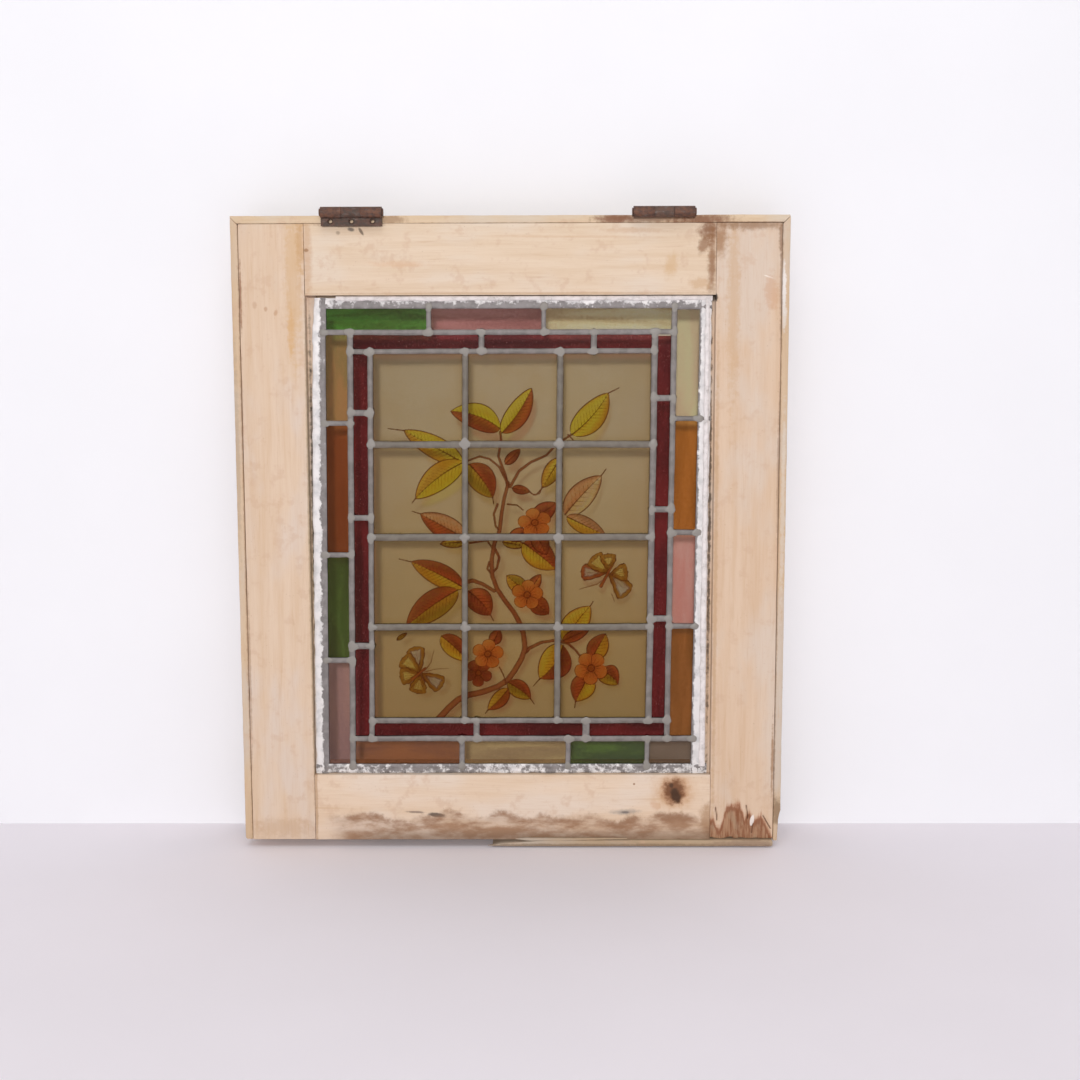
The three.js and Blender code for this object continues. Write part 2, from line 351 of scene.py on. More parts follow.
def hanging_glass(name, dark, light, seeds=0.0, lumps=0.2, run="x"):
    """Coloured sheet glass, streaked along its length."""
    f = Finish(name)
    along = (0.16, 1, 1) if run == "x" else (1, 1, 0.16)
    streak = f.cloud(f.stretched(*along), 75, 3, 0.55, 0.6)
    pebble = f.cloud(f.place, 300, 3, 0.6)
    mixed_up = f.calc("ADD", f.calc("MULTIPLY", streak, 0.7), f.calc("MULTIPLY", pebble, 0.3))
    tone = f.blend(f.between(mixed_up, 0.4, 0.62), hue(dark), hue(light))
    if seeds:
        seed = f.between(f.cells(f.stretched(1, 1, 0.4), 420), 0.2, 0.06, 0.0, seeds)
        tone = f.blend(seed, tone, hue("#c08a86"))
    return f.pane(tone, f.tint(tone, border_gain, 0.4), border_body, 0.22, f.relief(pebble, lumps, 0.5))


def painted_glass():
    """Cream glass with the branch fired on to it, with painted shade lower down and round each pane's edge. The figures
    are written on the panes.
    """
    f = Finish("painted_glass")
    pebble = f.cloud(f.place, 330, 2, 0.6)
    wash = f.cloud(f.place, 28, 2, 0.5)
    grain = f.cloud(f.place, 800, 2, 0.6)
    # Painted shade: the glass is darker lower down, in its own tone and in what it lets through, for the dimmer light
    # behind the lower rows.
    height = f.between(f.axis("Z"), -0.14, -0.5)
    tone = f.blend(height, hue("#c6b392"), hue("#b39a70"))
    through = f.blend(height, hue("#fffefa"), hue("#f9f2e0"))
    cloudy = f.between(wash, 0.35, 0.68, 0.0, 0.14)
    speck = f.between(f.calc("ADD", f.calc("MULTIPLY", pebble, 0.5), f.calc("MULTIPLY", grain, 0.5)), 0.42, 0.62, 0.0, 0.13)
    # Painted shade: rim darkens a band about 11 mm wide round each pane's edge, where the leads and the ruby border
    # shade the light behind the glass.
    rim = f.between(f.calc("ADD", f.written("rim"), f.calc("MULTIPLY", wash, 5.0)), 11.0, 1.5, 0.0, 0.25)
    # A thin line darker still, right against the leads.
    darker_by_the_leads = f.between(f.calc("ADD", f.written("rim"), f.calc("MULTIPLY", pebble, 2.0)), 2.4, 0.8, 0.0, 0.55)
    for share, own, thin in ((cloudy, "#b8a276", "#f6e8c8"), (speck, "#a08858", "#ecdcb4"),
                             (rim, "#9c8a58", "#ddca98"), (darker_by_the_leads, "#6d604a", "#a89878")):
        tone = f.blend(share, tone, hue(own))
        through = f.blend(share, through, hue(thin))
    uneven = f.calc("MULTIPLY", f.calc("SUBTRACT", grain, 0.5), 1.5)
    cover = f.between(f.calc("ADD", f.written("cover"), uneven), 0.6, -0.5, 0.0, 0.97)
    ink = f.written("ink", colour=True)
    dabbed = f.blend(f.between(pebble, 0.4, 0.66, 0.0, 0.3), ink, hue("#8a5a20"))
    tone = f.blend(cover, tone, dabbed)
    through = f.blend(cover, through, f.tint(dabbed, (2.6, 3.9, 6.5), 1.0))
    fired = f.calc("ADD", f.written("trace"), f.calc("MULTIPLY", uneven, 0.3))
    line = f.between(fired, 0.35, -0.3, 0.0, 0.85)
    tone = f.blend(line, tone, hue("#67341a"))
    through = f.blend(line, through, hue("#8c5030"))
    return f.pane(tone, through, painted_body, 0.3, f.relief(pebble, 0.15, 0.5))


def dull_lead():
    """Old lead: grimy in the middle, paler on the border, with bright solder and chalky putty on it."""
    f = Finish("dull_lead")
    mottle = f.cloud(f.place, 95, 4, 0.6)
    fine = f.cloud(f.place, 600, 3, 0.6)
    edge = f.cloud(f.place, 135, 5, 0.68)
    pale = f.written("pale")
    chalk = f.written("chalk")
    solder = f.written("solder")
    grimy = f.blend(f.between(mottle, 0.35, 0.68), hue("#675f55"), hue("#787067"))
    clean = f.blend(f.between(mottle, 0.35, 0.68), hue("#777170"), hue("#918b8a"))
    colour = f.blend(pale, grimy, clean)
    colour = f.blend(f.between(solder, 0.02, 0.6, 0.0, 0.65), colour, hue("#97928d"))
    uneven = f.calc("MULTIPLY", f.calc("SUBTRACT", edge, 0.5), 1.9)
    crumbs = f.calc("MULTIPLY", f.calc("SUBTRACT", fine, 0.5), 0.5)
    level = f.calc("ADD", f.calc("ADD", chalk, uneven), crumbs)
    white = f.between(level, 0.36, 0.66)
    chalky = f.blend(f.between(mottle, 0.4, 0.7), hue("#e0dbd9"), hue("#c6c3c2"))
    colour = f.blend(f.calc("MULTIPLY", white, f.between(chalk, 0.02, 0.1)), colour, chalky)
    pit = f.between(f.cloud(f.place, 420, 3, 0.6), 0.66, 0.76, 0.0, 0.55)
    colour = f.blend(f.calc("MULTIPLY", pit, f.between(chalk, 0.1, 0.4)), colour, hue("#76706b"))
    height = f.calc("ADD", f.calc("MULTIPLY", mottle, 0.5), f.calc("MULTIPLY", fine, 0.15))
    height = f.calc("ADD", height, f.calc("MULTIPLY", white, 0.7))
    rough = f.between(mottle, 0.3, 0.7, 0.45, 0.66)
    return f.done(f.solid(colour, rough, f.relief(height, 0.35, 0.6), metallic=0.1, specular=0.35))


def old_putty():
    f = Finish("old_putty")
    mottle = f.cloud(f.place, 140, 4, 0.6)
    crack = f.between(f.cells(f.stretched(1, 1, 1), 210, "DISTANCE_TO_EDGE"), 0.05, 0.0, 0.0, 0.55)
    colour = f.blend(f.between(mottle, 0.35, 0.7), hue("#e9e1df"), hue("#d2cbc8"))
    colour = f.blend(f.calc("MULTIPLY", crack, f.between(mottle, 0.5, 0.7)), colour, hue("#8d7f78"))
    chip = f.between(f.cloud(f.place, 420, 3, 0.6), 0.69, 0.76, 0.0, 0.6)
    colour = f.blend(chip, colour, hue("#6f6058"))
    height = f.calc("SUBTRACT", mottle, f.calc("MULTIPLY", crack, 0.5))
    return f.done(f.solid(colour, 0.85, f.relief(height, 0.6, 0.8), specular=0.25))


def rusted_iron(name, dark="#4b372f", red="#70483a", grey="#77706a", rub=0.35):
    f = Finish(name)
    mottle = f.cloud(f.place, 260, 5, 0.65)
    fine = f.cloud(f.place, 1200, 3, 0.6)
    colour = f.blend(f.between(mottle, 0.38, 0.62), hue(dark), hue(red))
    rubbed = f.between(f.cloud(f.stretched(0.4, 1, 1), 330, 4, 0.6), 0.54, 0.68, 0.0, rub)
    colour = f.blend(rubbed, colour, hue(grey))
    scale = f.between(fine, 0.6, 0.72, 0.0, 0.5)
    colour = f.blend(scale, colour, hue("#2f2420"))
    height = f.calc("ADD", f.calc("MULTIPLY", mottle, 0.7), f.calc("MULTIPLY", fine, 0.3))
    return f.done(f.solid(colour, 0.68, f.relief(height, 0.45, 0.9), metallic=0.3, specular=0.4))


# ---------------------------------------------------------------- the woodwork
def board(node, finish, run, arris=0.9, wear=0.22, step=7.0, seed=1.0):
    """A planed and stripped board: its arrises are rounded, and then worn unevenly."""
    made = from_node(node, f"{node}_wood")
    low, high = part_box(node)
    way = Vector((1, 0, 0)) if run == "x" else Vector((0, 0, 1))
    open_mesh(made)
    bpy.ops.mesh.bevel(offset=arris * mm, offset_type="OFFSET", segments=2, affect="EDGES", clamp_overlap=True)
    length = (high - low).dot(way)
    cuts = int(length / (step * mm))
    for k in range(1, cuts):
        bpy.ops.mesh.select_all(action="SELECT")
        at = low + way * (length * (k + 0.15 * math.sin(k * 2.4 + seed)) / cuts)
        bpy.ops.mesh.bisect(plane_co=at, plane_no=way)
    close_mesh()
    points = corners(made)
    slow = waver(points, 38, seed)
    quick = waver(points, 9, seed + 3)
    reshape(made, points + wear * (0.6 * slow + 0.7 * quick))
    return fit_out(made, "sash", finish, [node], smooth=40)


stile_marks_left = [
    # The first mark is painted shade: a dark line down the crevice between the panel and the stile.
    (-203.8, -330, 2.6, 252, 0, "#453b31", 0.95, 0.5, 0.3),
    (-206.5, -330, 1.5, 250, 0, "#a58f70", 0.6, 0.6, 0.4),
    (-217, -60, 7.5, 75, 0, "#c9a06c", 0.42, 0.9, 0.5),
    (-210, -30, 4, 24, 0, "#c0935f", 0.5, 0.9, 0.5),
    (-221, -115, 3, 20, 1, "#cf9f63", 0.45, 0.7, 0.5),
    (-271, -78, 1.0, 32, 0, "#8c5f45", 0.75, 0.8, 0.5),
    (-272, -180, 0.9, 40, 0, "#9a7358", 0.45, 1.0, 0.6),
    (-271, -470, 1.0, 70, 0, "#8d6a50", 0.45, 1.0, 0.6),
    (-236, -96, 2, 3, 20, "#b98e6e", 0.6, 0.6, 0.5),
    (-246, -92, 1.6, 2.2, 0, "#b3896b", 0.6, 0.6, 0.5),
    (-257, -88, 2.2, 3.2, 0, "#bb9377", 0.5, 0.6, 0.5),
    (-240, -630, 34, 9, 0, "#b38f70", 0.35, 0.9, 0.6),
]
stile_marks_right = [
    # The first two marks are painted shade: a dark line down the crevice between the panel and the stile, darkest in
    # its top corner.
    (203.4, -325, 2.0, 248, 0, "#5a4b3e", 0.9, 0.7, 0.3),
    (205, -81, 3, 4.5, 0, "#2c2520", 0.95, 0.4, 0.3),
    (224, -90, 6, 90, 0, "#c39a6d", 0.4, 0.9, 0.5),
    (210, -22, 6, 15, 0, "#96683f", 0.75, 0.9, 0.8),
    (240, -10, 34, 4, 0, "#8f6a4c", 0.75, 0.9, 0.8),
    (271, -22, 2.2, 15, 0, "#8a664a", 0.7, 0.8, 0.5),
    (271.4, -66, 1.1, 40, 0, "#7f6450", 0.55, 1.0, 0.6),
    (259, -61, 4.5, 0.7, 18, "#f0e7dc", 0.9, 0.3, 0.4),
    (262, -76, 7, 16, 0, "#c4936f", 0.45, 0.9, 0.5),
    (271.3, -250, 1.0, 60, 0, "#8d6a50", 0.45, 1.0, 0.6),
    (270.5, -560, 1.3, 34, 0, "#98714f", 0.75, 0.9, 0.6),
    (209, -400, 2.0, 230, 0, "#b8926c", 0.55, 0.9, 0.6),
    (250.5, -622, 2.2, 6.2, 10, "#eadfd4", 1.0, 0.25, 0.2),
]
top_rail_marks = [
    (-159, -13.5, 3.2, 1.9, 15, "#6a6058", 0.85, 0.5, 0.4),
    (-148.8, -15.5, 1.3, 4.2, -28, "#6f6052", 0.85, 0.5, 0.4),
    (-172, -17, 2.0, 1.8, 0, "#8d7a68", 0.6, 0.5, 0.5),
    (-160, -9, 30, 2.2, 0, "#7b5d45", 0.55, 0.7, 0.5),
    (-204, -34, 2.2, 1.6, 0, "#7d5a40", 0.85, 0.5, 0.4),
    (-203, -40, 4, 40, 0, "#bd8f66", 0.45, 0.9, 0.6),
    (199, -14, 9, 9, 25, "#7d5236", 0.85, 0.9, 0.8),
    (194, -28, 5, 9, 20, "#8a6040", 0.75, 0.7, 0.5),
    (202, -45, 3.6, 36, 0, "#8a5e3c", 0.8, 0.8, 0.8),
    (190, -68, 9, 5, 0, "#c29a70", 0.5, 0.9, 0.6),
    (161, -50, 5.5, 11, 12, "#c9a273", 0.5, 0.7, 0.6),
    (120, -15, 26, 2.6, 0, "#c6a07e", 0.45, 0.9, 0.6),
    (60, -21, 80, 1.2, 0.6, "#cba684", 0.35, 0.8, 0.6),
    (-110, -48, 24, 3, 0, "#d3ab88", 0.4, 0.9, 0.6),
    # Painted shade: a soft darker line along the rail's lower edge, above the panel.
    (0, -77, 210, 1.2, 0, "#c0a080", 0.6, 0.5, 0.5),
]
bottom_rail_marks = [
    (169, -590.5, 19, 18, 0, "#c79c72", 0.6, 0.4, 0.6),
    (169, -590.5, 13.5, 14, 0, "#b07c54", 0.75, 0.4, 0.5),
    (169, -590.5, 10.5, 12.5, -12, "#6f462c", 0.92, 0.5, 0.35),
    (170.5, -595, 4.6, 8, -14, "#3f2a1c", 0.85, 0.5, 0.4),
    (166, -584, 2.2, 2.6, 0, "#4a3222", 0.8, 0.5, 0.4),
    (127, -582.8, 1.2, 1.2, 0, "#93694b", 0.9, 0.4, 0.4),
    (-79, -616, 9, 2.2, 6, "#4c4540", 0.9, 0.5, 0.4),
    (-101, -612.8, 9, 1.1, 3, "#6f5f58", 0.7, 0.5, 0.5),
    (117.6, -612.7, 13, 2.6, -2, "#8f8881", 0.6, 0.6, 0.6),
    (117.6, -613, 4, 1.2, 0, "#5f5a58", 0.7, 0.5, 0.5),
    (205, -622, 9, 17, 0, "#a17852", 0.65, 0.6, 0.5),
    (150, -606, 6, 4, 40, "#caa080", 0.5, 0.8, 0.5),
    (-205, -590, 1.6, 70, 0, "#a98463", 0.6, 0.6, 0.5),
]


def damp_foot(f, colour, height, edge, grain):
    """The brown tide mark along the foot of the bottom rail."""
    across = f.axis("X")
    up = f.axis("Z")
    swell = f.cloud(f.stretched(1, 0.2, 0.3), 22, 2, 0.5)
    rise = f.calc("MULTIPLY", f.calc("SUBTRACT", swell, 0.5), 0.034)
    ragged = f.calc("MULTIPLY", f.calc("SUBTRACT", edge, 0.5), 0.012)
    level = f.calc("SUBTRACT", f.calc("ADD", up, ragged), rise)
    near_left = f.between(across, -0.2, -0.165)
    face = f.between(f.axis("Y"), -0.012, -0.017)
    wet = f.between(level, -0.6145, -0.6235)
    tide = f.calc("MULTIPLY", f.between(level, -0.6125, -0.6195), f.between(level, -0.632, -0.6205))
    patchy = f.between(f.cloud(f.stretched(0.35, 1, 1), 85, 4, 0.6), 0.36, 0.62, 0.25, 0.95)
    for share, tone in ((f.calc("MULTIPLY", wet, patchy), "#a17c60"), (f.calc("MULTIPLY", f.calc("MULTIPLY", tide, patchy), 0.75), "#8f694e")):
        share = f.calc("MULTIPLY", f.calc("MULTIPLY", share, near_left), face)
        colour = f.blend(share, colour, hue(tone))
    low = f.calc("MULTIPLY", f.between(up, -0.627, -0.641), f.between(across, -0.205, -0.12))
    colour = f.blend(f.calc("MULTIPLY", low, 0.55), colour, hue("#6b5340"))
    return colour, height


def rotted_foot(f, colour, height, edge, grain):
    """The torn, brown end grain at the foot of the right stile."""
    rot = f.written("rot")
    torn = f.cloud(grain, 330, 4, 0.65)
    brown = f.blend(f.between(torn, 0.35, 0.68), hue("#8a5c3f"), hue("#b08a6c"))
    brown = f.blend(f.between(f.cloud(f.stretched(1, 1, 0.4), 150, 3, 0.6), 0.5, 0.66, 0.0, 0.75), brown, hue("#a3866b"))
    uneven = f.calc("MULTIPLY", f.calc("SUBTRACT", edge, 0.5), 0.5)
    stained = f.calc("ADD", f.written("stained"), f.calc("MULTIPLY", f.calc("SUBTRACT", torn, 0.5), 0.9))
    stained = f.calc("ADD", stained, uneven)
    colour = f.blend(f.between(stained, 0.2, 0.75, 0.0, 0.75), colour, hue("#a9714f"))
    colour = f.blend(f.between(stained, 0.55, 1.0, 0.0, 0.95), colour, brown)
    lip = f.calc("MULTIPLY", f.between(stained, 0.5, 0.75), f.between(stained, 1.15, 0.85))
    colour = f.blend(f.calc("MULTIPLY", lip, 0.6), colour, hue("#7d452a"))
    crack = f.written("crack")
    colour = f.blend(f.between(crack, 0.4, 0.95, 0.0, 0.8), colour, hue("#5a3a2a"))
    fleck = f.spot(250.5, -622, 2.0, 6.0, 8, 0.15, 0.15, edge, 14)
    colour = f.blend(f.calc("MULTIPLY", fleck, 0.95), colour, hue("#eadfd6"))
    return colour, f.calc("ADD", height, f.calc("MULTIPLY", f.calc("MULTIPLY", torn, rot), 1.4))


# Where the sound wood ends on the right stile's foot: a ragged line of X and Z.
rot_line = [
    (204, -618), (209, -617), (213, -625), (217, -629), (221, -618), (224, -606), (228, -603), (233, -605),
    (237, -602), (241, -611), (243, -619), (246, -611), (249, -612), (252, -622), (257, -618), (260, -613),
    (263, -620), (267, -628), (270, -634), (273, -640),
]
splits = [
    [(262, -617), (270, -631)],
    [(212.5, -608), (214, -622)],
    [(244.5, -606), (246, -620)],
    [(251, -626), (250.5, -636)],
]


def rotten_stile():
    """The right stile. Its foot is torn back in ragged steps, with splits that run up the grain."""
    made = from_node("stile_right", "stile_right_wood")
    open_mesh(made)
    bpy.ops.mesh.bevel(offset=0.9 * mm, offset_type="OFFSET", segments=2, affect="EDGES", clamp_overlap=True)
    heights = [-16 - 8 * k for k in range(72)]
    heights += [-593 - 1.3 * k for k in range(38)]
    for z in heights:
        bpy.ops.mesh.select_all(action="SELECT")
        bpy.ops.mesh.bisect(plane_co=(0, 0, z * mm), plane_no=(0, 0, 1))
    for k in range(44):
        bpy.ops.mesh.select_all(action="SELECT")
        bpy.ops.mesh.bisect(plane_co=((208 + 1.45 * k) * mm, 0, 0), plane_no=(1, 0, 0))
    close_mesh()
    points = corners(made)
    x, y, z = points.T
    line = np.interp(x, [p[0] for p in rot_line], [p[1] for p in rot_line])
    line = line + 2.6 * ripple(x, 4.6, 2) + 1.3 * ripple(x, 1.7, 5)
    below = np.clip((line - z) / 7, 0, 1)
    face = np.clip((-12 - y) / 6, 0, 1)
    fibre = 0.5 + 0.5 * ripple(x + 0.06 * z, 1.6, 8)
    rot = below * face
    crack = np.zeros(len(x))
    for a, b in splits:
        way = np.array(b, float) - np.array(a, float)
        t = np.clip(((x - a[0]) * way[0] + (z - a[1]) * way[1]) / (way @ way), 0, 1)
        gap = np.hypot(x - a[0] - t * way[0], z - a[1] - t * way[1])
        crack = np.maximum(crack, np.clip(1.3 - gap / 1.2, 0, 1) * face)
    toe = np.clip((-628 - z) / 14, 0, 1) * face
    depth = rot * (0.5 + 1.0 * fibre + 1.0 * toe) + crack * 1.6
    slow = waver(points, 38, 4.0)
    quick = waver(points, 9, 7.0)
    moved = points + 0.22 * (0.6 * slow + 0.7 * quick)
    moved[:, 1] += depth * (y < -18)
    at_toe = z < -640.5
    moved[:, 2] += at_toe * face * (0.4 + 2.2 * np.clip(ripple(x, 5.0, 3) + 0.2, 0, 1))
    reshape(made, moved)
    note(made, "rot", rot)
    note(made, "stained", np.clip((line + 8 - z) / 17, 0, 1.1) * face)
    note(made, "crack", crack)
    finish = pine("pine_right_stile", "z", "#d7bca3", "#ccab8c", "#d4c2b2", stile_marks_right, rotted_foot, 0.31)
    return fit_out(made, "sash", finish, ["stile_right"], smooth=40)


def nail_heads(name, spots, way, finish):
    """Flat heads of the nails that hold an edge strip, set just under its face."""
    heads = []
    for at in spots:
        bpy.ops.mesh.primitive_cylinder_add(vertices=14, radius=1.7 * mm, depth=1.6 * mm)
        head = bpy.context.object
        open_mesh(head)
        bpy.ops.mesh.bevel(offset=0.3 * mm, segments=2, affect="EDGES")
        close_mesh()
        turn = Vector((0, 0, 1)).rotation_difference(Vector(way)).to_matrix().to_4x4()
        head.data.transform(Matrix.Translation(Vector(at) * mm) @ turn)
        heads.append(head)
    made = joined(heads, name)
    return fit_out(made, "sash", finish)


def splinters(finish):
    """Two torn layers that stand up from the broken end of the bottom strip."""
    made = []
    for start, tip, end, low, thick, y0 in (
        ((8, -640.2), (3, -640.6), 120, -642.6, 2.6, -21.6),
        ((-19, -647.6), (-26, -647.9), 30, -648.6, 0.9, -20.6),
    ):
        bpy.ops.mesh.primitive_cube_add(size=1)
        sliver = bpy.context.object
        open_mesh(sliver)
        choose(sliver, "edges", lambda e: abs(e.verts[0].co.x - e.verts[1].co.x) > 0.5)
        bpy.ops.mesh.subdivide(number_cuts=40)
        choose(sliver, "edges", lambda e: abs(e.verts[0].co.z - e.verts[1].co.z) > 0.5)
        bpy.ops.mesh.subdivide(number_cuts=3)
        close_mesh()
        points = corners(sliver) * mm
        u = points[:, 0] + 0.5
        x = tip[0] + (end - tip[0]) * u ** 1.3
        grown = np.clip(u * 5, 0, 1) * (1 - 0.8 * u ** 2)
        top = tip[1] + (start[1] - tip[1]) * np.clip(u * 8, 0, 1) + 0.35 * ripple(x, 3.5, 2)
        z = top + (points[:, 2] - 0.5) * (0.3 + grown * (top - low))
        y = y0 + (points[:, 1] + 0.5) * (0.4 + thick * grown) + 0.25 * ripple(z * 3 + x, 5, 4)
        reshape(sliver, np.stack([x, y, z], 1))
        made.append(sliver)
    piece = joined(made, "bottom_strip_splinters")
    return fit_out(piece, "sash", finish)


# ---------------------------------------------------------------- the lead
upright_cames = [  # X at mid-height, top, foot, width, paleness
    (-164.5, -115.4, -566, 6.0, 0.6), (163.3, -88, -535.6, 5.8, 0.6),
    (-144.3, -134.4, -535.6, 5.4, 0.55), (143.9, -115.4, -516.4, 6.4, 0.55),
    (-47.8, -134.4, -516.4, 6.0, 0.0), (48.4, -134.4, -516.4, 6.2, 0.0),
    (-84.8, -88, -115.4, 4.9, 0.7), (31.4, -88, -115.4, 4.5, 0.7),
    (-31.5, -115.4, -134.4, 5.8, 0.6), (82.2, -115.4, -134.4, 6.2, 0.6),
    (-35.2, -516.4, -535.6, 6.2, 0.6), (78.7, -516.4, -535.6, 7.0, 0.6),
    (-50.5, -535.6, -566, 5.4, 0.8), (60.2, -535.6, -566, 5.0, 0.8), (142.7, -535.6, -566, 5.0, 0.8),
]
level_cames = [  # Z, left, right, width, paleness
    (-115.4, -190, 163.3, 5.6, 0.7), (-535.6, -164.5, 190, 5.8, 0.6),
    (-134.4, -164.5, 143.9, 5.2, 0.5), (-516.4, -144.3, 163.3, 5.8, 0.45),
    (-228.8, -144.3, 143.9, 6.9, 0.0), (-324, -144.3, 143.9, 7.0, 0.0), (-417.6, -144.3, 143.9, 6.7, 0.0),
    (-207.1, -191, -164.5, 5.2, 0.7), (-342.1, -191, -164.5, 5.2, 0.7), (-452.5, -191, -164.5, 5.8, 0.7),
    (-196.4, -164.5, -144.3, 6.2, 0.65), (-303.8, -164.5, -144.3, 5.8, 0.65), (-437.3, -164.5, -144.3, 6.4, 0.65),
    (-202.9, 163.3, 202, 4.9, 0.6), (-319.4, 163.3, 190, 5.6, 0.6), (-416.7, 163.3, 190, 5.4, 0.6),
    (-182, 143.9, 163.3, 6.2, 0.65), (-295.6, 143.9, 163.3, 6.0, 0.65), (-408.8, 143.9, 163.3, 6.4, 0.65),
]
# Half of a came's section: across from its middle, and depth. The glass goes in its groove.
came_half = [(0.0, -14.25), (0.35, -14.15), (0.65, -13.9), (0.88, -13.55), (1.0, -13.2), (1.0, -12.92), (0.3, -12.92)]
came_back = [(0.3, -9.28), (1.0, -9.28), (1.0, -9.0), (0.88, -8.7), (0.65, -8.4), (0.35, -8.15), (0.0, -8.05)]


def straight_bar(section, cuts):
    """A bar one long, standing up, with rings to bend it by. The section is across and depth."""
    bpy.ops.mesh.primitive_circle_add(vertices=len(section), radius=1, fill_type="NGON")
    bar = bpy.context.object
    reshape(bar, np.array([(a, y, 0.0) for a, y in section]))
    open_mesh(bar)
    bpy.ops.mesh.extrude_region_move(TRANSFORM_OT_translate={"value": (0, 0, mm)})
    choose(bar, "edges", lambda e: abs(e.verts[0].co.z - e.verts[1].co.z) > 0.5 * mm)
    bpy.ops.mesh.subdivide(number_cuts=cuts)
    bpy.ops.mesh.select_all(action="SELECT")
    bpy.ops.mesh.normals_make_consistent(inside=False)
    close_mesh()
    return bar


def bend_came(master, upright, at, start, end, width, seed):
    """A copy of the bar, laid from start to end and a little uneven, as drawn lead is."""
    came = own_copy(master, "came")
    across, depth, along = corners(came).T
    along = start + (end - start) * along
    swell = 1 + 0.07 * ripple(along, 21, seed) + 0.05 * ripple(along, 6, seed + 2)
    sway = 0.35 * ripple(along, 48, seed + 4) + 0.12 * ripple(along, 12, seed + 5)
    off = at + sway + across * swell * width / 2
    y = depth + 0.14 * ripple(along, 17, seed + 6) * (depth < -11)
    x, z = (off, along) if upright else (along, off)
    reshape(came, np.stack([lean(x, z), y, z], 1))
    return came


def solder_joint(master, x, z, arms, seed, back=False):
    """A flattened blob of solder that runs a little way along each came it joins."""
    blob = own_copy(master, "solder")
    px, py, pz = corners(blob).T
    angle = np.arctan2(pz, px)
    reach = np.full(len(px), 3.9 + 0.4 * math.sin(seed * 2.3))
    for arm in arms:
        gap = np.abs((angle - arm + 0.16 * math.sin(seed * 5.1 + arm) + math.pi) % (2 * math.pi) - math.pi)
        reach = reach + (2.3 + 1.3 * math.sin(seed * 3.7 + arm)) * np.clip(1 - gap / 0.85, 0, 1) ** 0.8
    reach = reach * (1 + 0.14 * ripple(angle * 3, 1.3, seed))
    bulge = 1 if not back else -1
    surface = -14.0 if not back else -8.3
    y = surface - bulge * np.clip(py, -0.2, 1) * (0.75 + 0.3 * math.sin(seed * 1.9))
    y = y + 0.1 * ripple(px * 7 + pz * 5, 1.4, seed + 1)
    nx, nz = x + px * reach, z + pz * reach
    reshape(blob, np.stack([lean(nx, nz), y, nz], 1))
    note(blob, "solder", np.clip(py * 1.6, 0, 1))
    return blob


def solder_master():
    bpy.ops.mesh.primitive_uv_sphere_add(segments=28, ring_count=12, radius=1)
    blob = bpy.context.object
    points = corners(blob) * mm
    turned = np.stack([points[:, 0], points[:, 2], points[:, 1]], 1)
    reshape(blob, turned)
    open_mesh(blob)
    bpy.ops.mesh.normals_make_consistent(inside=False)
    close_mesh()
    return blob


def leading():
    section = came_half + came_back + [(-a, y) for a, y in came_back[-2::-1]] + [(-a, y) for a, y in came_half[:0:-1]]
    long_bar = straight_bar(section, 110)
    short_bar = straight_bar(section, 12)
    made = []
    for k, (x, top, foot, width, pale) in enumerate(upright_cames):
        bar = long_bar if top - foot > 90 else short_bar
        came = bend_came(bar, True, x, top, foot, width, k + 0.3)
        note(came, "pale", np.full(len(came.data.vertices), pale))
        made.append(came)
    for k, (z, left, right, width, pale) in enumerate(level_cames):
        bar = long_bar if right - left > 90 else short_bar
        came = bend_came(bar, False, z, left, right, width, k + 40.3)
        note(came, "pale", np.full(len(came.data.vertices), pale))
        made.append(came)
    blob = solder_master()
    count = 0
    for x, top, foot, *_ in upright_cames:
        for z, left, right, *_ in level_cames:
            if foot - 2 <= z <= top + 2 and left - 2 <= x <= right + 2:
                arms = []
                if top > z + 6:
                    arms.append(math.pi / 2)
                if foot < z - 6:
                    arms.append(-math.pi / 2)
                if right > x + 6:
                    arms.append(0.0)
                if left < x - 6:
                    arms.append(math.pi)
                count += 1
                made.append(solder_joint(blob, x, z, arms, count))
                made.append(solder_joint(blob, x, z, arms, count + 50, back=True))
    ends = [(x, -89.5, -math.pi / 2) for x in (-84.8, 31.4, 163.3)]
    ends += [(x, -565, math.pi / 2) for x in (-164.5, -50.5, 60.2, 142.7)]
    ends += [(-191.5, z, 0.0) for z in (-115.4, -207.1, -342.1, -452.5)]
    ends += [(190.5, z, math.pi) for z in (-202.9, -319.4, -416.7, -535.6)]
    for x, z, arm in ends:
        count += 1
        made.append(solder_joint(blob, x, z, [arm], count))
    for o in (long_bar, short_bar, blob):
        bpy.data.objects.remove(o)
    made += flat_border()
    piece = outwards(joined(made, "leading"))
    return fit_out(piece, "sash", dull_lead(), ["lead_came"], smooth=50)


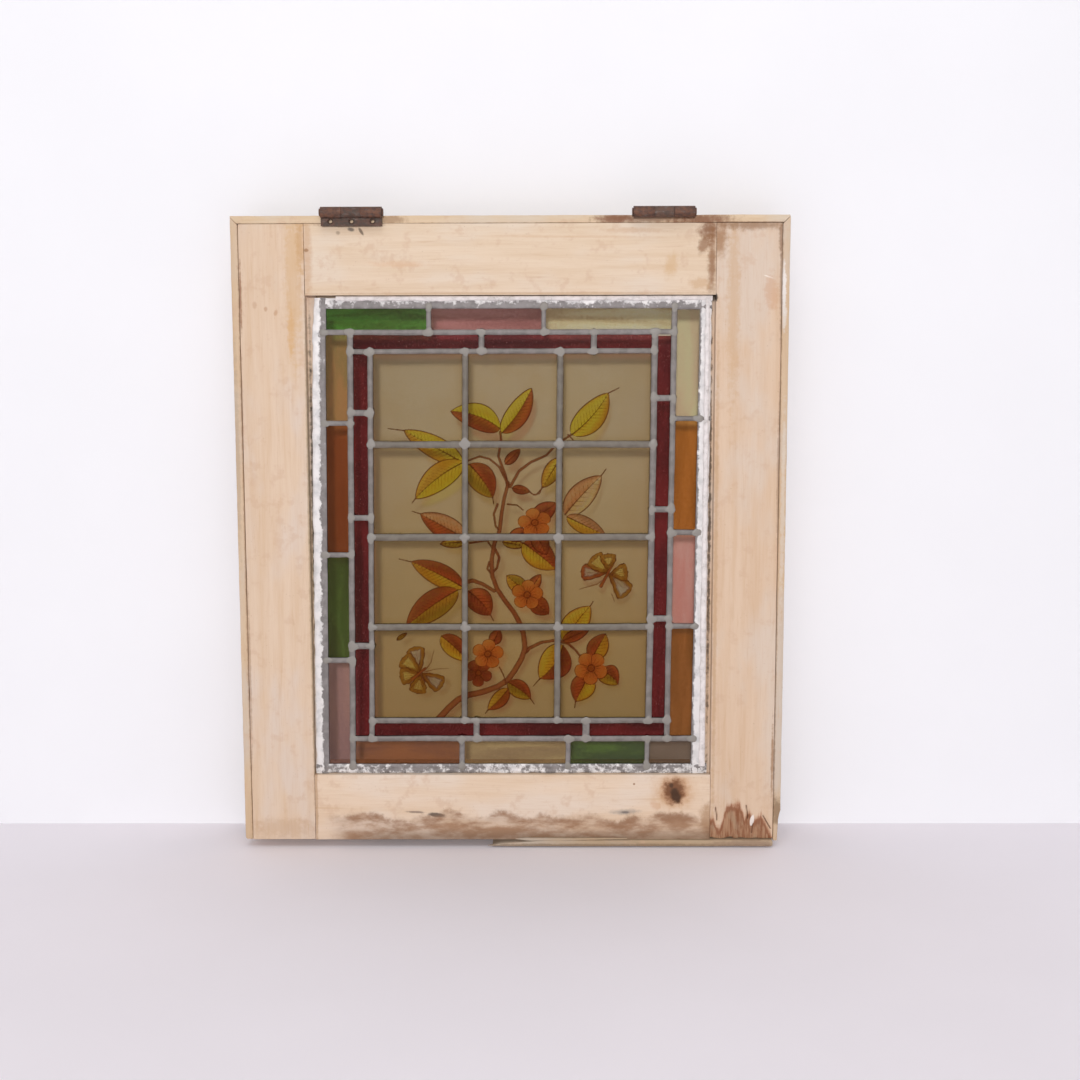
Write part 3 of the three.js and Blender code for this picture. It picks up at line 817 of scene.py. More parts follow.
def flat_border():
    """The wide came round the panel, ragged on its outer edge and half hidden by putty."""
    front = [(0, -13.1), (0.0, -13.5), (0.05, -13.85), (0.14, -14.15), (0.25, -14.2), (0.36, -14.1), (0.46, -13.8)]
    front += [(0.54, -13.75), (0.64, -13.9), (0.74, -13.95), (0.84, -13.9), (0.93, -13.75), (0.985, -13.4), (1.0, -12.9)]
    rear = [(1.0, -9.3), (0.985, -8.8), (0.9, -8.5), (0.7, -8.4), (0.5, -8.4), (0.25, -8.35), (0.06, -8.6), (0.0, -9.0)]
    groove = [(0.0, -9.25), (0.17, -9.25), (0.17, -12.95), (0.0, -12.95)]
    bar = straight_bar(front + rear + groove, 170)
    sides = {
        "left": (
            True, -80.8, -572.6, lambda s: np.where(s > -115, -188.6, -189.4),
            lambda s: np.interp(
                -s, [80, 112, 190, 300, 420, 572], [-200.1, -202.4, -203.2, -203.9, -203.4, -202.8]
            ),
        ),
        "right": (
            True, -82, -572.5, lambda s: np.full(len(s), 188.7),
            lambda s: np.interp(-s, [82, 300, 420, 572], [200.4, 201.6, 202.0, 202.4]),
        ),
        "top": (
            False, -195.2, 200.7, lambda s: np.where(s > 162, -93.0, -91.7),
            lambda s: np.interp(s, [-197, 203], [-80.9, -81.6]),
        ),
        "bottom": (False, -202.6, 205.3, lambda s: np.full(len(s), -562.6), lambda s: np.full(len(s), -572.4)),
    }
    made = []
    for k, (side, (upright, start, end, inner, outer)) in enumerate(sides.items()):
        came = own_copy(bar, "border")
        u, depth, along = corners(came).T
        s = start + (end - start) * along
        near = inner(s)
        far = outer(s)
        way = np.sign(far - near)
        rag = 0.9 * ripple(s, 14, k + 1) + 0.7 * ripple(s, 4.5, k + 11) + 0.35 * ripple(s, 1.8, k + 21)
        far = far + way * (np.clip(rag, -1.4, 0.35))
        near = near + way * 0.2 * ripple(s, 12, k + 31)
        off = near + u * (far - near)
        laid = np.stack([off, s, depth], 1)
        lumps = waver(laid, 5.5, k + 3)[:, 0] + 0.6 * waver(laid, 2.2, k + 5)[:, 1]
        y = depth - lumps * (0.15 + 0.65 * np.clip((u - 0.42) * 2, 0, 1)) * (depth < -13.2)
        if upright:
            x, z = off, s
            x = x + panel_lean * (z - panel_middle)
        else:
            x, z = lean(s, off), off
        reshape(came, np.stack([x, y, z], 1))
        white = {
            "left": 0.15 + 0.95 * np.clip((u - 0.3) * 2.4, 0, 1),
            "right": 0.25 + 0.85 * np.clip((u - 0.05) * 4, 0, 1),
            "top": 0.25 + 0.4 * np.clip((u - 0.3) * 2, 0, 1) + 0.25 * ripple(s, 30, 3),
            "bottom": 0.42 + 0.22 * ripple(s, 26, 4) + 0.1 * u,
        }[side]
        note(came, "chalk", np.clip(white, 0, 1.2) * (y < -11))
        note(came, "pale", np.full(len(u), 0.9))
        made.append(came)
    bpy.data.objects.remove(bar)
    return made


def putty_bead():
    """What is left of the putty: a lumpy bead under the top rail and down the right stile."""
    section = [
        (0, -14.15), (0.02, -15.2), (0.12, -16.1), (0.3, -16.5), (0.5, -16.6),
        (0.7, -16.4), (0.88, -15.8), (0.98, -15.0), (1, -14.15),
    ]
    bar = straight_bar(section, 190)
    made = []
    for k, (upright, start, end) in enumerate(((False, -176, 203.6), (True, -84, -565))):
        bead = own_copy(bar, "bead")
        u, depth, along = corners(bead).T
        s = start + (end - start) * along
        if upright:
            near = np.interp(-s, [84, 300, 440, 565], [196.5, 195.6, 194.6, 194.8])
            far = np.full(len(s), 201.2)
        else:
            near = np.full(len(s), -79.3)
            far = -84.0 - 0.6 * ripple(s, 60, 2)
        rag = 0.8 * ripple(s, 13, k + 2) + 0.5 * ripple(s, 3.6, k + 5)
        if upright:
            near = near - np.clip(rag, -0.9, 0.6)
            far = far - 0.25 + 0.25 * ripple(s, 9, 7)
        else:
            far = far - np.clip(rag, -1.1, 1.0)
            near = near + 0.12 * ripple(s, 9, 7)
        taper = np.clip(1 - (2 * along - 1) ** 40, 0.25, 1)
        off = near + u * (far - near)
        laid = np.stack([off, s, depth], 1)
        lumps = waver(laid, 6.5, k + 9)[:, 0] + 0.5 * waver(laid, 2.4, k + 2)[:, 2]
        y = -14.15 + (depth + 14.15) * taper * (0.78 + 0.3 * ripple(s, 19, k + 4)) - 0.3 * lumps * (depth < -14.6)
        y = np.where(depth < -14.6, np.minimum(y, -14.4), y)
        x, z = (off, s) if upright else (s, off)
        reshape(bead, np.stack([x, y, z], 1))
        made.append(bead)
    bpy.data.objects.remove(bar)
    piece = outwards(joined(made, "putty_bead"))
    return fit_out(piece, "sash", old_putty(), ["putty_remnant"], smooth=50)


# ---------------------------------------------------------------- the painting
yellow, gold, olive = hue("#c79c2c")[:3], hue("#b5812a")[:3], hue("#977426")[:3]
russet, brick, bark = hue("#8e4523")[:3], hue("#7e3a20")[:3], hue("#7d4429")[:3]
rose, blush, petal = hue("#a5714b")[:3], hue("#b68f62")[:3], hue("#aa5f2b")[:3]
petal_dark, wing, dusk, amber_wing = hue("#8a4318")[:3], hue("#8d5c22")[:3], hue("#a08b78")[:3], hue("#b89450")[:3]


class Painting:
    """Lays figures over each other on a set of points, as X and Z in millimetres.
    cover is how far a point is outside the paint, trace is how far it is from a dark line, and ink is the colour."""

    def __init__(self, x, z):
        self.x, self.z = x, z
        self.cover = np.full(len(x), 30.0)
        self.trace = np.full(len(x), 30.0)
        self.ink = np.tile(np.array(russet), (len(x), 1))

    def lay(self, distance, colour, lines):
        over = (distance < 0) | (distance < self.cover)
        self.ink[over] = colour[over]
        self.cover = np.minimum(self.cover, distance)
        self.trace = np.where(distance < 0, lines, np.minimum(self.trace, lines))

    def leaf(self, base, tip, width, left, right, bow=0.0, tail=None, veins=4.2, rim=0.5):
        """A leaf from base to tip. left and right are its two halves, looking from the base to the tip."""
        run = np.array(tip, float) - np.array(base, float)
        length = math.hypot(*run)
        d = run / length
        px, pz = self.x - base[0], self.z - base[1]
        t = (px * d[0] + pz * d[1]) / length
        inside = np.clip(t, 0, 1)
        s = -px * d[1] + pz * d[0] - bow * 4 * inside * (1 - inside)
        shape = np.clip(inside, 0, 1) ** 0.62 * (1 - inside) ** 0.8 / 0.396
        half = width / 2 * shape + 0.15
        distance = np.maximum(np.abs(s) - half, np.maximum(-t, t - 1) * length) * 0.92
        deep = np.clip(np.abs(s) / np.maximum(half, 0.3), 0, 1)[:, None]
        side = np.where((s > 0)[:, None], np.array(left), np.array(right))
        glow = 0.5 + 0.5 * np.sin(3.1 * inside + 4.0 * deep[:, 0] + base[0])[:, None]
        colour = side * (0.8 + 0.42 * glow)
        burnt = np.clip((distance + 2.6) / 2.2, 0, 1)[:, None] * np.clip(1.5 * inside[:, None] - 0.1, 0, 1)
        colour = colour * (1 - 0.45 * burnt) + np.array(brick) * 0.45 * burnt
        slant = (t * length - np.abs(s) * 0.85) / veins
        vein = np.abs(slant - np.round(slant)) * veins * 0.75
        vein = np.where((deep[:, 0] < 0.86) & (inside > 0.06), vein - 0.22 * (1.1 - deep[:, 0]), 5.0)
        lines = np.minimum(vein, np.abs(s) - 0.5 * (1.3 - inside))
        lines = np.where(distance < 0.4, lines, 30.0)
        lines = np.minimum(lines, np.abs(distance) - rim)
        self.lay(distance, colour, lines)
        if tail:
            self.stroke([tip, tail], 0.8, 0.4, bark)

    def stroke(self, points, thick, thin, colour, edge=True):
        """A stem or hair that tapers from thick to thin."""
        best = np.full(len(self.x), 1e3)
        total = sum(math.dist(a, b) for a, b in zip(points, points[1:]))
        gone = 0.0
        for a, b in zip(points, points[1:]):
            step = math.dist(a, b)
            dx, dz = (b[0] - a[0]) / step, (b[1] - a[1]) / step
            t = np.clip((self.x - a[0]) * dx + (self.z - a[1]) * dz, 0, step)
            gap = np.hypot(self.x - a[0] - t * dx, self.z - a[1] - t * dz)
            best = np.minimum(best, gap - (thick + (thin - thick) * (gone + t) / total) / 2)
            gone += step
        shade = np.clip(0.8 - best * 0.22, 0.8, 1.25)[:, None]
        lines = np.abs(best) - 0.28 if edge else np.full(len(best), 30.0)
        self.lay(best, np.array(colour) * shade, np.where(best < -1.2, 30.0, lines))

    def flower(self, centre, size, tones, turn=0.3, petals=5, squash=1.0):
        """An open flower: round petals, darker at the heart, with fine rays."""
        dx, dz = self.x - centre[0], (self.z - centre[1]) / squash
        r = np.hypot(dx, dz)
        a = np.arctan2(dz, dx) - turn
        wave = np.abs(np.cos(a * petals / 2))
        edge = size * (0.6 + 0.4 * wave ** 0.45)
        distance = (r - edge) * 0.9
        heart = np.clip(1 - r / (0.42 * size), 0, 1)[:, None]
        rim = np.clip(r / size, 0, 1)[:, None]
        colour = np.array(tones[0]) * (1 - heart) + np.array(tones[1]) * heart
        petal_fold = 0.5 + 0.5 * np.cos(a * petals)[:, None]
        colour = colour * (0.78 + 0.3 * rim + 0.16 * petal_fold)
        rays = np.abs(((a * petals * 1.6 / math.pi) % 1) - 0.5) * r * math.pi / petals / 1.6
        rays = np.where((r > 0.22 * size) & (r < 0.62 * size), rays - 0.2, 30)
        folds = np.where(r > 0.3 * size, wave * r * 0.45 - 0.3, 30)
        ring = np.abs(r - 0.2 * size) - 0.5
        lines = np.minimum(np.minimum(rays, folds), np.minimum(ring, np.abs(distance) - 0.45))
        self.lay(distance, colour, np.where(distance < 0.4, lines, 30))

    def moth_wing(self, base, tip, width, outer, inner, bow=0.0):
        """A butterfly's wing, banded at its edge and pale inside."""
        run = np.array(tip, float) - np.array(base, float)
        length = math.hypot(*run)
        d = run / length
        px, pz = self.x - base[0], self.z - base[1]
        t = (px * d[0] + pz * d[1]) / length
        inside = np.clip(t, 0, 1)
        s = -px * d[1] + pz * d[0] - bow * 4 * inside * (1 - inside)
        half = width / 2 * (inside ** 0.75) * (1 - inside ** 6) ** 0.5 / 0.86
        half = half * (1 + 0.05 * np.cos(t * 22)) + 0.1
        fan = np.arctan2(s, np.maximum(t * length, 0.1)) / 0.2
        scallop = 0.9 * np.abs(np.cos(fan * math.pi)) * inside
        distance = np.maximum(np.abs(s) - half, np.maximum(-t, t - 1) * length) * 0.9 + 0.9 - scallop
        band = np.clip((distance + 4.6) / 2.0, 0, 1)[:, None]
        colour = np.array(inner) * (1 - band) + np.array(outer) * band
        ribs = np.abs(fan - np.round(fan)) * 0.2 * np.maximum(t * length, 0.5) - 0.15
        ring = np.abs(distance + 3.4) - 0.25
        lines = np.minimum(np.where(distance < 0, np.minimum(ribs, ring), 30), np.abs(distance) - 0.45)
        self.lay(distance, colour, lines)


def paint_branch(p):
    """The flowering branch and its two butterflies."""
    p.stroke([(-43, -330), (-25, -327.5), (-18, -338)], 1.6, 1.2, bark)
    p.stroke([(-14, -290), (-18, -300), (-16, -313), (-12, -318)], 2.0, 1.4, bark)
    p.stroke([(-17, -336), (-12.5, -345), (-15, -356), (-20, -361)], 2.4, 1.6, bark)
    p.stroke([(-23, -350), (-25, -357), (-21, -362)], 1.8, 1.4, bark)
    p.stroke([(-49, -371), (-40, -369), (-30, -372.5), (-18, -380)], 4.2, 3.0, bark)
    p.stroke([(10, -448), (18, -440), (30, -434), (45, -431.5), (58, -435), (66, -442), (72, -450)], 3.6, 1.6, bark)
    p.stroke([(-76, -514), (-66, -503), (-56, -494), (-46, -489.5), (-30, -486), (-15, -480.5), (-4, -473), (3, -463),
              (10, -451), (13.5, -440), (12, -425), (8, -413), (2, -402), (-7, -390), (-15, -378), (-20, -364), (-20.5, -348),
              (-17.5, -330), (-12, -317), (-10, -300), (-7.5, -285), (-3, -268)], 6.4, 3.0, bark)
    p.stroke([(-4, -270), (-6, -260), (-13, -241), (-10, -225), (-11, -216)], 2.6, 1.8, bark)
    p.stroke([(-1, -272), (8, -256), (20, -247), (36, -240), (46, -229), (60, -220), (70, -212)], 2.6, 1.3, bark)
    p.stroke([(-4, -268), (-12, -252), (-22, -243.5), (-32, -241), (-46, -246)], 2.2, 1.4, bark)
    p.stroke([(-4, -290), (6, -291), (12, -296)], 1.2, 0.9, bark)
    p.stroke([(17, -276), (23, -280.5), (29, -279), (32, -271)], 1.1, 0.8, bark)
    p.stroke([(58, -219), (64, -225)], 1.2, 0.8, bark)
    p.stroke([(-13, -460), (-9, -468), (-6, -478)], 1.0, 0.8, bark)
    p.leaf((-11, -213), (-61, -195), 27, russet, yellow, -4.5)
    p.leaf((-9, -217), (21, -172), 23, yellow, russet, -2.5)
    p.leaf((-50, -246.5), (-109, -214.5), 23, gold, yellow, 0.0, (-125, -212.5))
    p.leaf((-49, -247), (-98, -284), 27, yellow, gold, -3.0, (-102, -289))
    p.leaf((-43, -249), (-19, -283), 28, russet, olive, 2.0, (-18, -290))
    p.leaf((-6, -249), (9, -234), 10, russet, brick)
    p.leaf((-46, -326), (-93, -300), 25, russet, rose, 0.0, (-102, -297))
    p.leaf((62, -219), (99, -177), 28, yellow, gold, -3.0, (110, -171.5))
    p.leaf((50, -243), (32, -273), 17, olive, gold, 0.0, (25, -281))
    p.leaf((1, -273.5), (19, -277), 9, russet, brick)
    p.leaf((55, -301), (92, -261), 26, rose, blush, 1.0, (97, -254), veins=6.0)
    p.leaf((57, -303), (96, -322), 18, rose, gold)
    p.leaf((-9, -329), (14, -333), 10, gold, olive)
    p.leaf((-46, -328), (-73, -331), 11, olive, gold)
    p.leaf((12, -330), (45, -357), 29, russet, gold, 1.0, (48, -364))
    p.leaf((54, -433), (81, -396), 27, gold, gold, 1.5, (84, -391))
    p.leaf((53, -432), (80, -420), 12, russet, russet)
    p.leaf((53, -437), (29, -472), 34, brick, gold, 4.0, (22, -480))
    p.leaf((-4, -476), (19, -493), 19, russet, olive, 1.0, (23, -499))
    p.leaf((-50, -376), (-103, -349.5), 24, gold, russet, -1.0, (-116, -346.5))
    p.leaf((-56, -379), (-109, -417), 30, olive, russet, -2.0)
    p.leaf((-45, -380), (-22, -405), 26, russet, brick, 2.0, (-19, -411))
    p.leaf((-73, -427), (-46, -453), 22, russet, gold, 1.0)
    p.leaf((-4, -483), (-25, -505), 16, russet, gold, 1.0, (-28, -509))
    p.leaf((-119, -431), (-109, -424), 4, olive, olive)
    # Four flowers, each with the leaves behind it
    p.leaf((22, -306), (46, -289), 19, brick, brick, 0.0, veins=9)
    p.leaf((24, -318), (36, -342), 18, brick, russet)
    p.leaf((16, -318), (-4, -326), 14, brick, russet)
    p.flower((24, -309), 17.5, (petal, petal_dark), 0.5, 5, 0.86)
    p.leaf((14, -380), (-5, -364), 17, gold, olive)
    p.leaf((18, -380), (30, -363), 12, russet, petal)
    p.leaf((20, -388), (38, -404), 19, russet, brick)
    p.flower((16, -384), 16.5, (petal, petal_dark), 0.2, 5, 0.95)
    p.leaf((82, -452), (97, -425), 22, russet, gold, 0.0)
    p.leaf((90, -464), (110, -478), 22, russet, olive, 3.0)
    p.leaf((80, -468), (66, -496), 26, gold, russet, 0.0, (65, -503))
    p.flower((82, -461), 17.5, (petal, petal_dark), 0.9, 5)
    p.leaf((-20, -436), (-13, -420), 13, russet, brick)
    p.flower((-35, -466), 14.5, (brick, petal_dark), 0.9, 5)
    p.flower((-25, -446), 16.5, (petal, petal_dark), 0.2, 5, 0.95)
    # Two butterflies
    p.moth_wing((99, -362), (119, -385), 24, wing, dusk, 2.0)
    p.moth_wing((98, -362), (71, -360), 20, russet, dusk)
    p.moth_wing((100, -362), (83, -344), 24, wing, amber_wing)
    p.moth_wing((101, -360), (99, -341), 20, wing, amber_wing)
    p.moth_wing((101, -362), (120, -360), 22, wing, amber_wing)
    p.stroke([(92, -375), (99, -362), (103, -354)], 3.2, 1.6, russet)
    p.stroke([(95, -368), (88, -373), (70, -378)], 0.9, 0.6, bark, edge=False)
    p.stroke([(103, -383), (106, -391)], 0.8, 0.5, bark, edge=False)
    p.moth_wing((-95, -465), (-101, -438), 22, wing, dusk)
    p.moth_wing((-95, -466), (-72, -480), 22, wing, dusk)
    p.moth_wing((-95, -466), (-114, -450), 22, wing, amber_wing)
    p.moth_wing((-95, -467), (-117, -470), 22, wing, amber_wing)
    p.moth_wing((-95, -467), (-99, -488), 22, wing, amber_wing)
    p.stroke([(-104, -473), (-96, -466), (-90, -461)], 3.4, 1.8, russet)
    p.stroke([(-91, -464), (-84, -455), (-81, -442)], 0.7, 0.5, bark, edge=False)
    p.stroke([(-91, -465), (-80, -462), (-66, -461)], 0.7, 0.5, bark, edge=False)


pane_columns = {"left": (-141.5, -50.9), "middle": (-44.7, 45.2), "right": (51.6, 140.5)}
pane_rows = [(-136.8, -225.3), (-232.4, -320.4), (-327.6, -414.2), (-421, -513.5)]
pane_grain = 0.75
painted_body = 0.08  # how much of the painted glass itself is seen, against what is behind it


def painted_pane(row, column, finish):
    """A pane with a fine mesh on its face, so that the brushwork on it stays sharp."""
    node = f"painted_pane_{row + 1}_{column}"
    left, right = pane_columns[column][0] - 1.5, pane_columns[column][1] + 1.5
    top, foot = pane_rows[row][0] + 1.5, pane_rows[row][1] - 1.5
    across, down = int((right - left) / pane_grain), int((top - foot) / pane_grain)
    bpy.ops.mesh.primitive_grid_add(x_subdivisions=across, y_subdivisions=down, size=1)
    pane = bpy.context.object
    pane.name = f"{node}_glass"
    points = corners(pane) * mm
    x = left + (right - left) * (points[:, 0] + 0.5)
    z = foot + (top - foot) * (points[:, 1] + 0.5)
    reshape(pane, np.stack([lean(x, z), np.full(len(x), glass_back), z], 1))
    open_mesh(pane)
    bpy.ops.mesh.extrude_region_move(TRANSFORM_OT_translate={"value": (0, (glass_front - glass_back) * mm, 0)})
    back = glass_back * mm
    choose(pane, "faces", lambda f: all(abs(v.co.y - back) < 1e-6 for v in f.verts))
    bpy.ops.mesh.delete(type="ONLY_FACE")
    choose(pane, "edges", lambda e: e.is_boundary)
    bpy.ops.mesh.edge_face_add()
    loose = bmesh.from_edit_mesh(pane.data)
    spare = [v for v in loose.verts if not v.link_faces]
    bmesh.ops.delete(loose, geom=spare, context="VERTS")
    bmesh.update_edit_mesh(pane.data)
    bpy.ops.mesh.select_all(action="SELECT")
    bpy.ops.mesh.normals_make_consistent(inside=False)
    close_mesh()
    x, y, z = corners(pane).T
    painting = Painting(x, z)
    paint_branch(painting)
    painted_face = y < glass_front + 0.5
    note(pane, "cover", np.where(painted_face, painting.cover, 30))
    note(pane, "trace", np.where(painted_face, painting.trace, 30))
    flat = x - panel_lean * (z - panel_middle)
    # rim is each point's distance in from the pane's edge; the glass finish paints shade by it.
    note(pane, "rim", np.minimum(np.minimum(flat - left, right - flat), np.minimum(top - z, z - foot)) - 1.5)
    ink = pane.data.attributes.new("ink", "FLOAT_COLOR", "POINT")
    ink.data.foreach_set("color", np.column_stack([painting.ink, np.ones(len(x))]).astype(np.float32).ravel())
    return fit_out(pane, "sash", finish, [node], smooth=0)


# ---------------------------------------------------------------- the border glass
border_glass = {
    # node: its darker tone, its lighter tone, the way it streaks
    "glass_top_green": ("#45582f", "#4f7a3a", "x"),
    "glass_top_mauve": ("#755450", "#8a6864", "x"),
    "glass_top_pale": ("#8a7d62", "#aaa488", "x"),
    "glass_right_pale": ("#948672", "#a0947a", "z"),
    "glass_right_amber": ("#7c5429", "#8a5f30", "z"),
    "glass_right_pink": ("#967068", "#a27d75", "z"),
    "glass_right_brown": ("#704f2d", "#7e5834", "z"),
    "glass_bottom_brown": ("#6e5345", "#7c5a42", "x"),
    "glass_bottom_olive": ("#7d6e58", "#8d7f62", "x"),
    "glass_bottom_green": ("#4a5440", "#56683f", "x"),
    "glass_bottom_grey": ("#685d52", "#70655a", "x"),
    "glass_left_olive": ("#776848", "#866a4a", "z"),
    "glass_left_brown": ("#673d25", "#70452a", "z"),
    "glass_left_green": ("#424b2c", "#4a5a30", "z"),
    "glass_left_mauve": ("#796461", "#836c64", "z"),
}


def border_panes():
    for node, (dark, light, run) in border_glass.items():
        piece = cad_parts[node]
        piece.data.materials.clear()
        piece.data.materials.append(hanging_glass(node, dark, light, run=run))
    ruby = {run: hanging_glass(f"ruby_glass_{run}", "#4a2224", "#60282a", seeds=0.4, lumps=0.3, run=run) for run in "xz"}
    for node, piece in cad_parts.items():
        if node.startswith("ruby_"):
            piece.data.materials.clear()
            piece.data.materials.append(ruby["x" if "top" in node or "bottom" in node else "z"])


# ---------------------------------------------------------------- the hinges
def hinges(iron):
    for side in ("left", "right"):
        for part, body in (("sash_leaf", "sash"), ("loose_leaf", f"{side}_loose_leaf"), ("pin", "sash")):
            node = f"hinge_{side}_{part}"
            made = from_node(node, f"{node}_iron")
            open_mesh(made)
            choose(made, "edges", lambda e: len(e.link_faces) == 2 and e.calc_face_angle(0) > math.radians(50))
            bpy.ops.mesh.bevel(offset=0.28 * mm, segments=2, affect="EDGES", clamp_overlap=True)
            close_mesh()
            finish = iron[side] if part == "loose_leaf" else iron["sash"]
            fit_out(made, body, finish, [node], smooth=35)
    for side, centre in (("left", -157.7), ("right", 153.5)):
        heads = []
        for k, off in enumerate((-21, 0, 21)):
            bpy.ops.mesh.primitive_cylinder_add(vertices=24, radius=2.9 * mm, depth=1.0 * mm)
            head = bpy.context.object
            open_mesh(head)
            choose(head, "faces", lambda f: f.normal.z > 0.9)
            bpy.ops.mesh.inset(thickness=0.35 * mm, depth=0.12 * mm)
            choose(head, "faces", lambda f: f.normal.z < -0.9)
            bpy.ops.transform.resize(value=(0.62, 0.62, 1))
            bpy.ops.mesh.select_all(action="SELECT")
            for off_slot in (-0.45, 0.45):
                bpy.ops.mesh.select_all(action="SELECT")
                bpy.ops.mesh.bisect(plane_co=(0, off_slot * mm, 0), plane_no=(0, 1, 0))
            choose(head, "faces", lambda f: f.normal.z > 0.9 and abs(f.calc_center_median().y) < 0.4 * mm)
            bpy.ops.mesh.extrude_region_move(TRANSFORM_OT_translate={"value": (0, 0, -0.5 * mm)})
            close_mesh()
            turn = Matrix.Rotation(0.5 + 1.3 * k + centre, 4, "Z")
            head.data.transform(Matrix.Translation(Vector((centre + off, -16.2, 1.55)) * mm) @ turn)
            heads.append(head)
        screws = joined(heads, f"hinge_{side}_screws")
        fit_out(screws, "sash", iron["screw"], smooth=30)


# ---------------------------------------------------------------- build it
deselect()
edge_pine = {
    "x": pine("pine_edge_across", "x", "#d8c0a2", "#c9ab86", "#d2c2ae", [
        # The first three marks are painted shadow: dark bands on the top strip under and beside the right hinge.
        (140, -3, 42, 4.5, 0, "#7d5336", 0.7, 0.8, 0.6), (192, -4, 26, 5, 0, "#7d5038", 0.85, 0.8, 0.6), (104, -4, 16, 5, 0, "#7d5038", 0.8, 0.8, 0.6),
        (-120, -4, 14, 4, 0, "#8f6a4c", 0.6, 0.8, 0.6), (0, -8, 290, 0.9, 0, "#8d6c50", 0.55, 0.8, 0.6),
        (230, -7.6, 60, 1.0, 0, "#7d5236", 0.65, 0.8, 0.6)], seed=0.7),
    "z": pine("pine_edge_upright", "z", "#d0b699", "#c0a07e", "#c9bbae", [
        (274, -72, 2.4, 22, 0, "#e9e4e0", 0.8, 0.9, 0.4), (275, -95, 2.2, 18, 0, "#ddd5cd", 0.7, 1.0, 0.4),
        (277, -300, 2, 90, 0, "#d8cdc0", 0.5, 1.2, 0.5), (272.6, -320, 1.0, 320, 0, "#8f7054", 0.6, 0.9, 0.6),
        (-272.6, -320, 1.0, 320, 0, "#8c6a50", 0.6, 0.9, 0.6), (-278, -240, 2.2, 90, 0, "#a99580", 0.5, 1.1, 0.6),
        (276, -612, 5, 14, 0, "#7d6248", 0.7, 0.8, 0.5)], seed=1.3),
    "broken": pine("pine_edge_broken", "x", "#b7a085", "#a2896c", "#b5a798", [
        (70, -648, 200, 1.6, 0, "#77604a", 0.6, 0.8, 0.6), (245, -646, 30, 3.5, 0, "#8f7563", 0.6, 0.8, 0.5)], seed=2.1),
}
board("stile_left", pine("pine_left_stile", "z", "#d9c0a8", "#cfb091", "#d6c4b6", stile_marks_left, seed=0.11), "z", seed=1)
rotten_stile()
board("rail_top", pine("pine_top_rail", "x", "#ddc7af", "#d2b799", "#dccbb9", top_rail_marks, seed=0.23), "x", seed=2)
board("rail_bottom", pine("pine_bottom_rail", "x", "#dfc7b0", "#d4b697", "#dfcdbd", bottom_rail_marks, damp_foot, 0.47), "x", seed=3)
board("edge_strip_top", edge_pine["x"], "x", 0.8, 0.3, 6, 4)
board("edge_strip_left", edge_pine["z"], "z", 0.8, 0.35, 6, 5)
board("edge_strip_right", edge_pine["z"], "z", 0.8, 0.35, 6, 6)
board("edge_strip_bottom_broken", edge_pine["broken"], "x", 0.5, 0.3, 5, 7)
splinters(edge_pine["broken"])
iron = {
    "left": rusted_iron("iron_left_leaf", "#4f433c", "#64493e", "#7d736c", 0.45),
    "right": rusted_iron("iron_right_leaf", "#584840", "#6d5245", "#8a8078", 0.5),
    "sash": rusted_iron("iron_sash_leaf", "#58423a", "#74503f", "#7e736c", 0.4),
    "screw": rusted_iron("iron_screw", "#4a3b33", "#65493c", "#8b837b", 0.5),
}
hinges(iron)
nail_heads("nails_left", [(-279.6, 3, -60 - 145 * k) for k in range(4)], (-1, 0, 0), iron["screw"])
nail_heads("nails_right", [(279.6, -2, -48 - 140 * k) for k in range(4)], (1, 0, 0), iron["screw"])
nail_heads("nails_top", [(-232, 2, -0.4), (-60, 4, -0.4), (62, 1, -0.4), (236, 3, -0.4)], (0, 0, 1), iron["screw"])
leading()
putty_bead()
border_panes()
pane_finish = painted_glass()
for row in range(4):
    for column in pane_columns:
        painted_pane(row, column, pane_finish)


# ---------------------------------------------------------------- the room
def plain_surface(name, colour, roughness=0.9, one_sided=False):
    f = Finish(name)
    tone = f.blend(f.between(f.cloud(f.place, 6, 2, 0.5), 0.3, 0.7), hue(colour), hue(colour, 0.985))
    surface = f.solid(tone, roughness, specular=0.15)
    if one_sided:
        clear = f.add("ShaderNodeBsdfTransparent")
        mixed = f.add("ShaderNodeMixShader")
        f.feed(mixed.inputs[0], f.add("ShaderNodeNewGeometry").outputs["Backfacing"])
        f.tree.links.new(surface, mixed.inputs[1])
        f.tree.links.new(clear.outputs[0], mixed.inputs[2])
        surface = mixed.outputs[0]
    return f.done(surface)


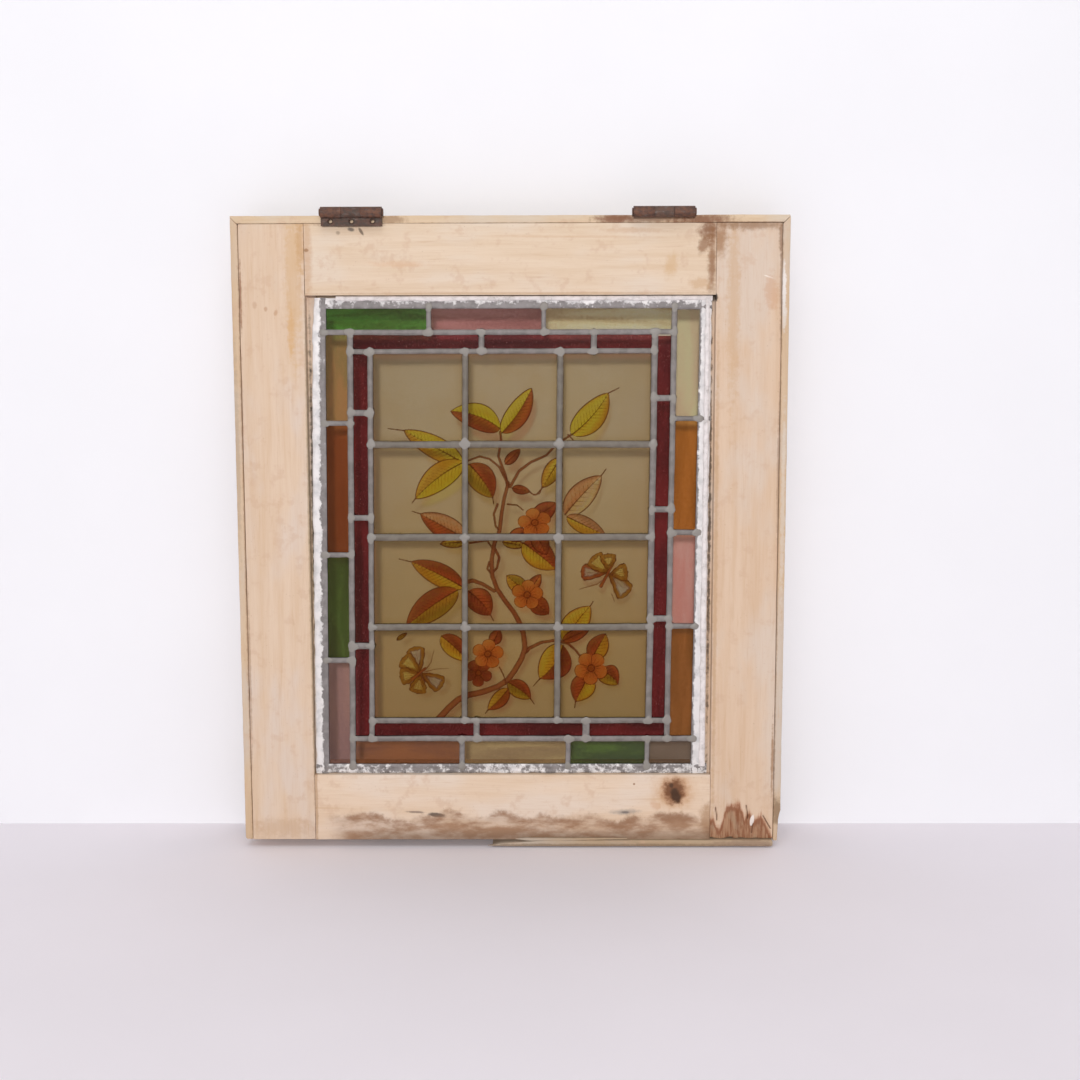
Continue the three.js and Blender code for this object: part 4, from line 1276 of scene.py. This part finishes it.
def stage():
    floor_z, wall_foot, wall_head = -0.6505, 0.062, 0.040
    bpy.ops.mesh.primitive_plane_add(size=1)
    floor = bpy.context.object
    floor.name = "floor"
    reshape(floor, np.array([(-2500, -2600, floor_z / mm), (2500, -2600, floor_z / mm),
                             (-2500, wall_foot / mm, floor_z / mm), (2500, wall_foot / mm, floor_z / mm)]))
    floor.data.materials.append(plain_surface("pale_floor", "#f4eef3"))
    bpy.ops.mesh.primitive_plane_add(size=1)
    wall = bpy.context.object
    wall.name = "wall"
    tilt = (wall_head - wall_foot) / -floor_z
    high = 1.6
    reshape(wall, np.array([(-2500, wall_foot / mm, floor_z / mm), (2500, wall_foot / mm, floor_z / mm),
                            (-2500, (wall_foot + tilt * (high - floor_z)) / mm, high / mm),
                            (2500, (wall_foot + tilt * (high - floor_z)) / mm, high / mm)]))
    wall.data.materials.append(plain_surface("pale_wall", "#f1f0f3", 0.8, one_sided=True))

    world = bpy.data.worlds.new("soft_room")
    world.use_nodes = True
    world.node_tree.nodes["Background"].inputs["Color"].default_value = (0.97, 0.98, 1.0, 1)
    world.node_tree.nodes["Background"].inputs["Strength"].default_value = 0.38
    bpy.context.scene.world = world

    def lamp(name, at, aim, size, power, colour=(1, 1, 1)):
        light = bpy.data.lights.new(name, "AREA")
        light.shape = "DISK"
        light.size = size
        light.energy = power
        light.color = colour
        made = bpy.data.objects.new(name, light)
        bpy.context.scene.collection.objects.link(made)
        made.location = at
        made.rotation_euler = (Vector(aim) - Vector(at)).to_track_quat("-Z", "Y").to_euler()

    lamp("window_light", (-0.15, -4.0, 0.62), (0, 0, -0.33), 0.34, 84)
    lamp("ceiling_light", (0.0, -1.5, 2.2), (0, 0.0, -0.3), 1.4, 13)

    camera = bpy.data.cameras.new("camera")
    camera.lens = 50
    camera.sensor_width = 36
    camera.clip_start, camera.clip_end = 0.05, 50
    made = bpy.data.objects.new("camera", camera)
    bpy.context.scene.collection.objects.link(made)
    right = Vector((0.99998, 0.0062, -0.00204)).normalized()
    forward = Vector((-0.0064, 0.9928, -0.1196)).normalized()
    up = right.cross(forward).normalized()
    right = forward.cross(up)
    made.matrix_world = Matrix.Translation((0.0392, -1.5425, -0.1427)) @ Matrix((right, up, -forward)).transposed().to_4x4()
    bpy.context.scene.camera = made
    bpy.context.scene.view_settings.view_transform = "Standard"


stage()
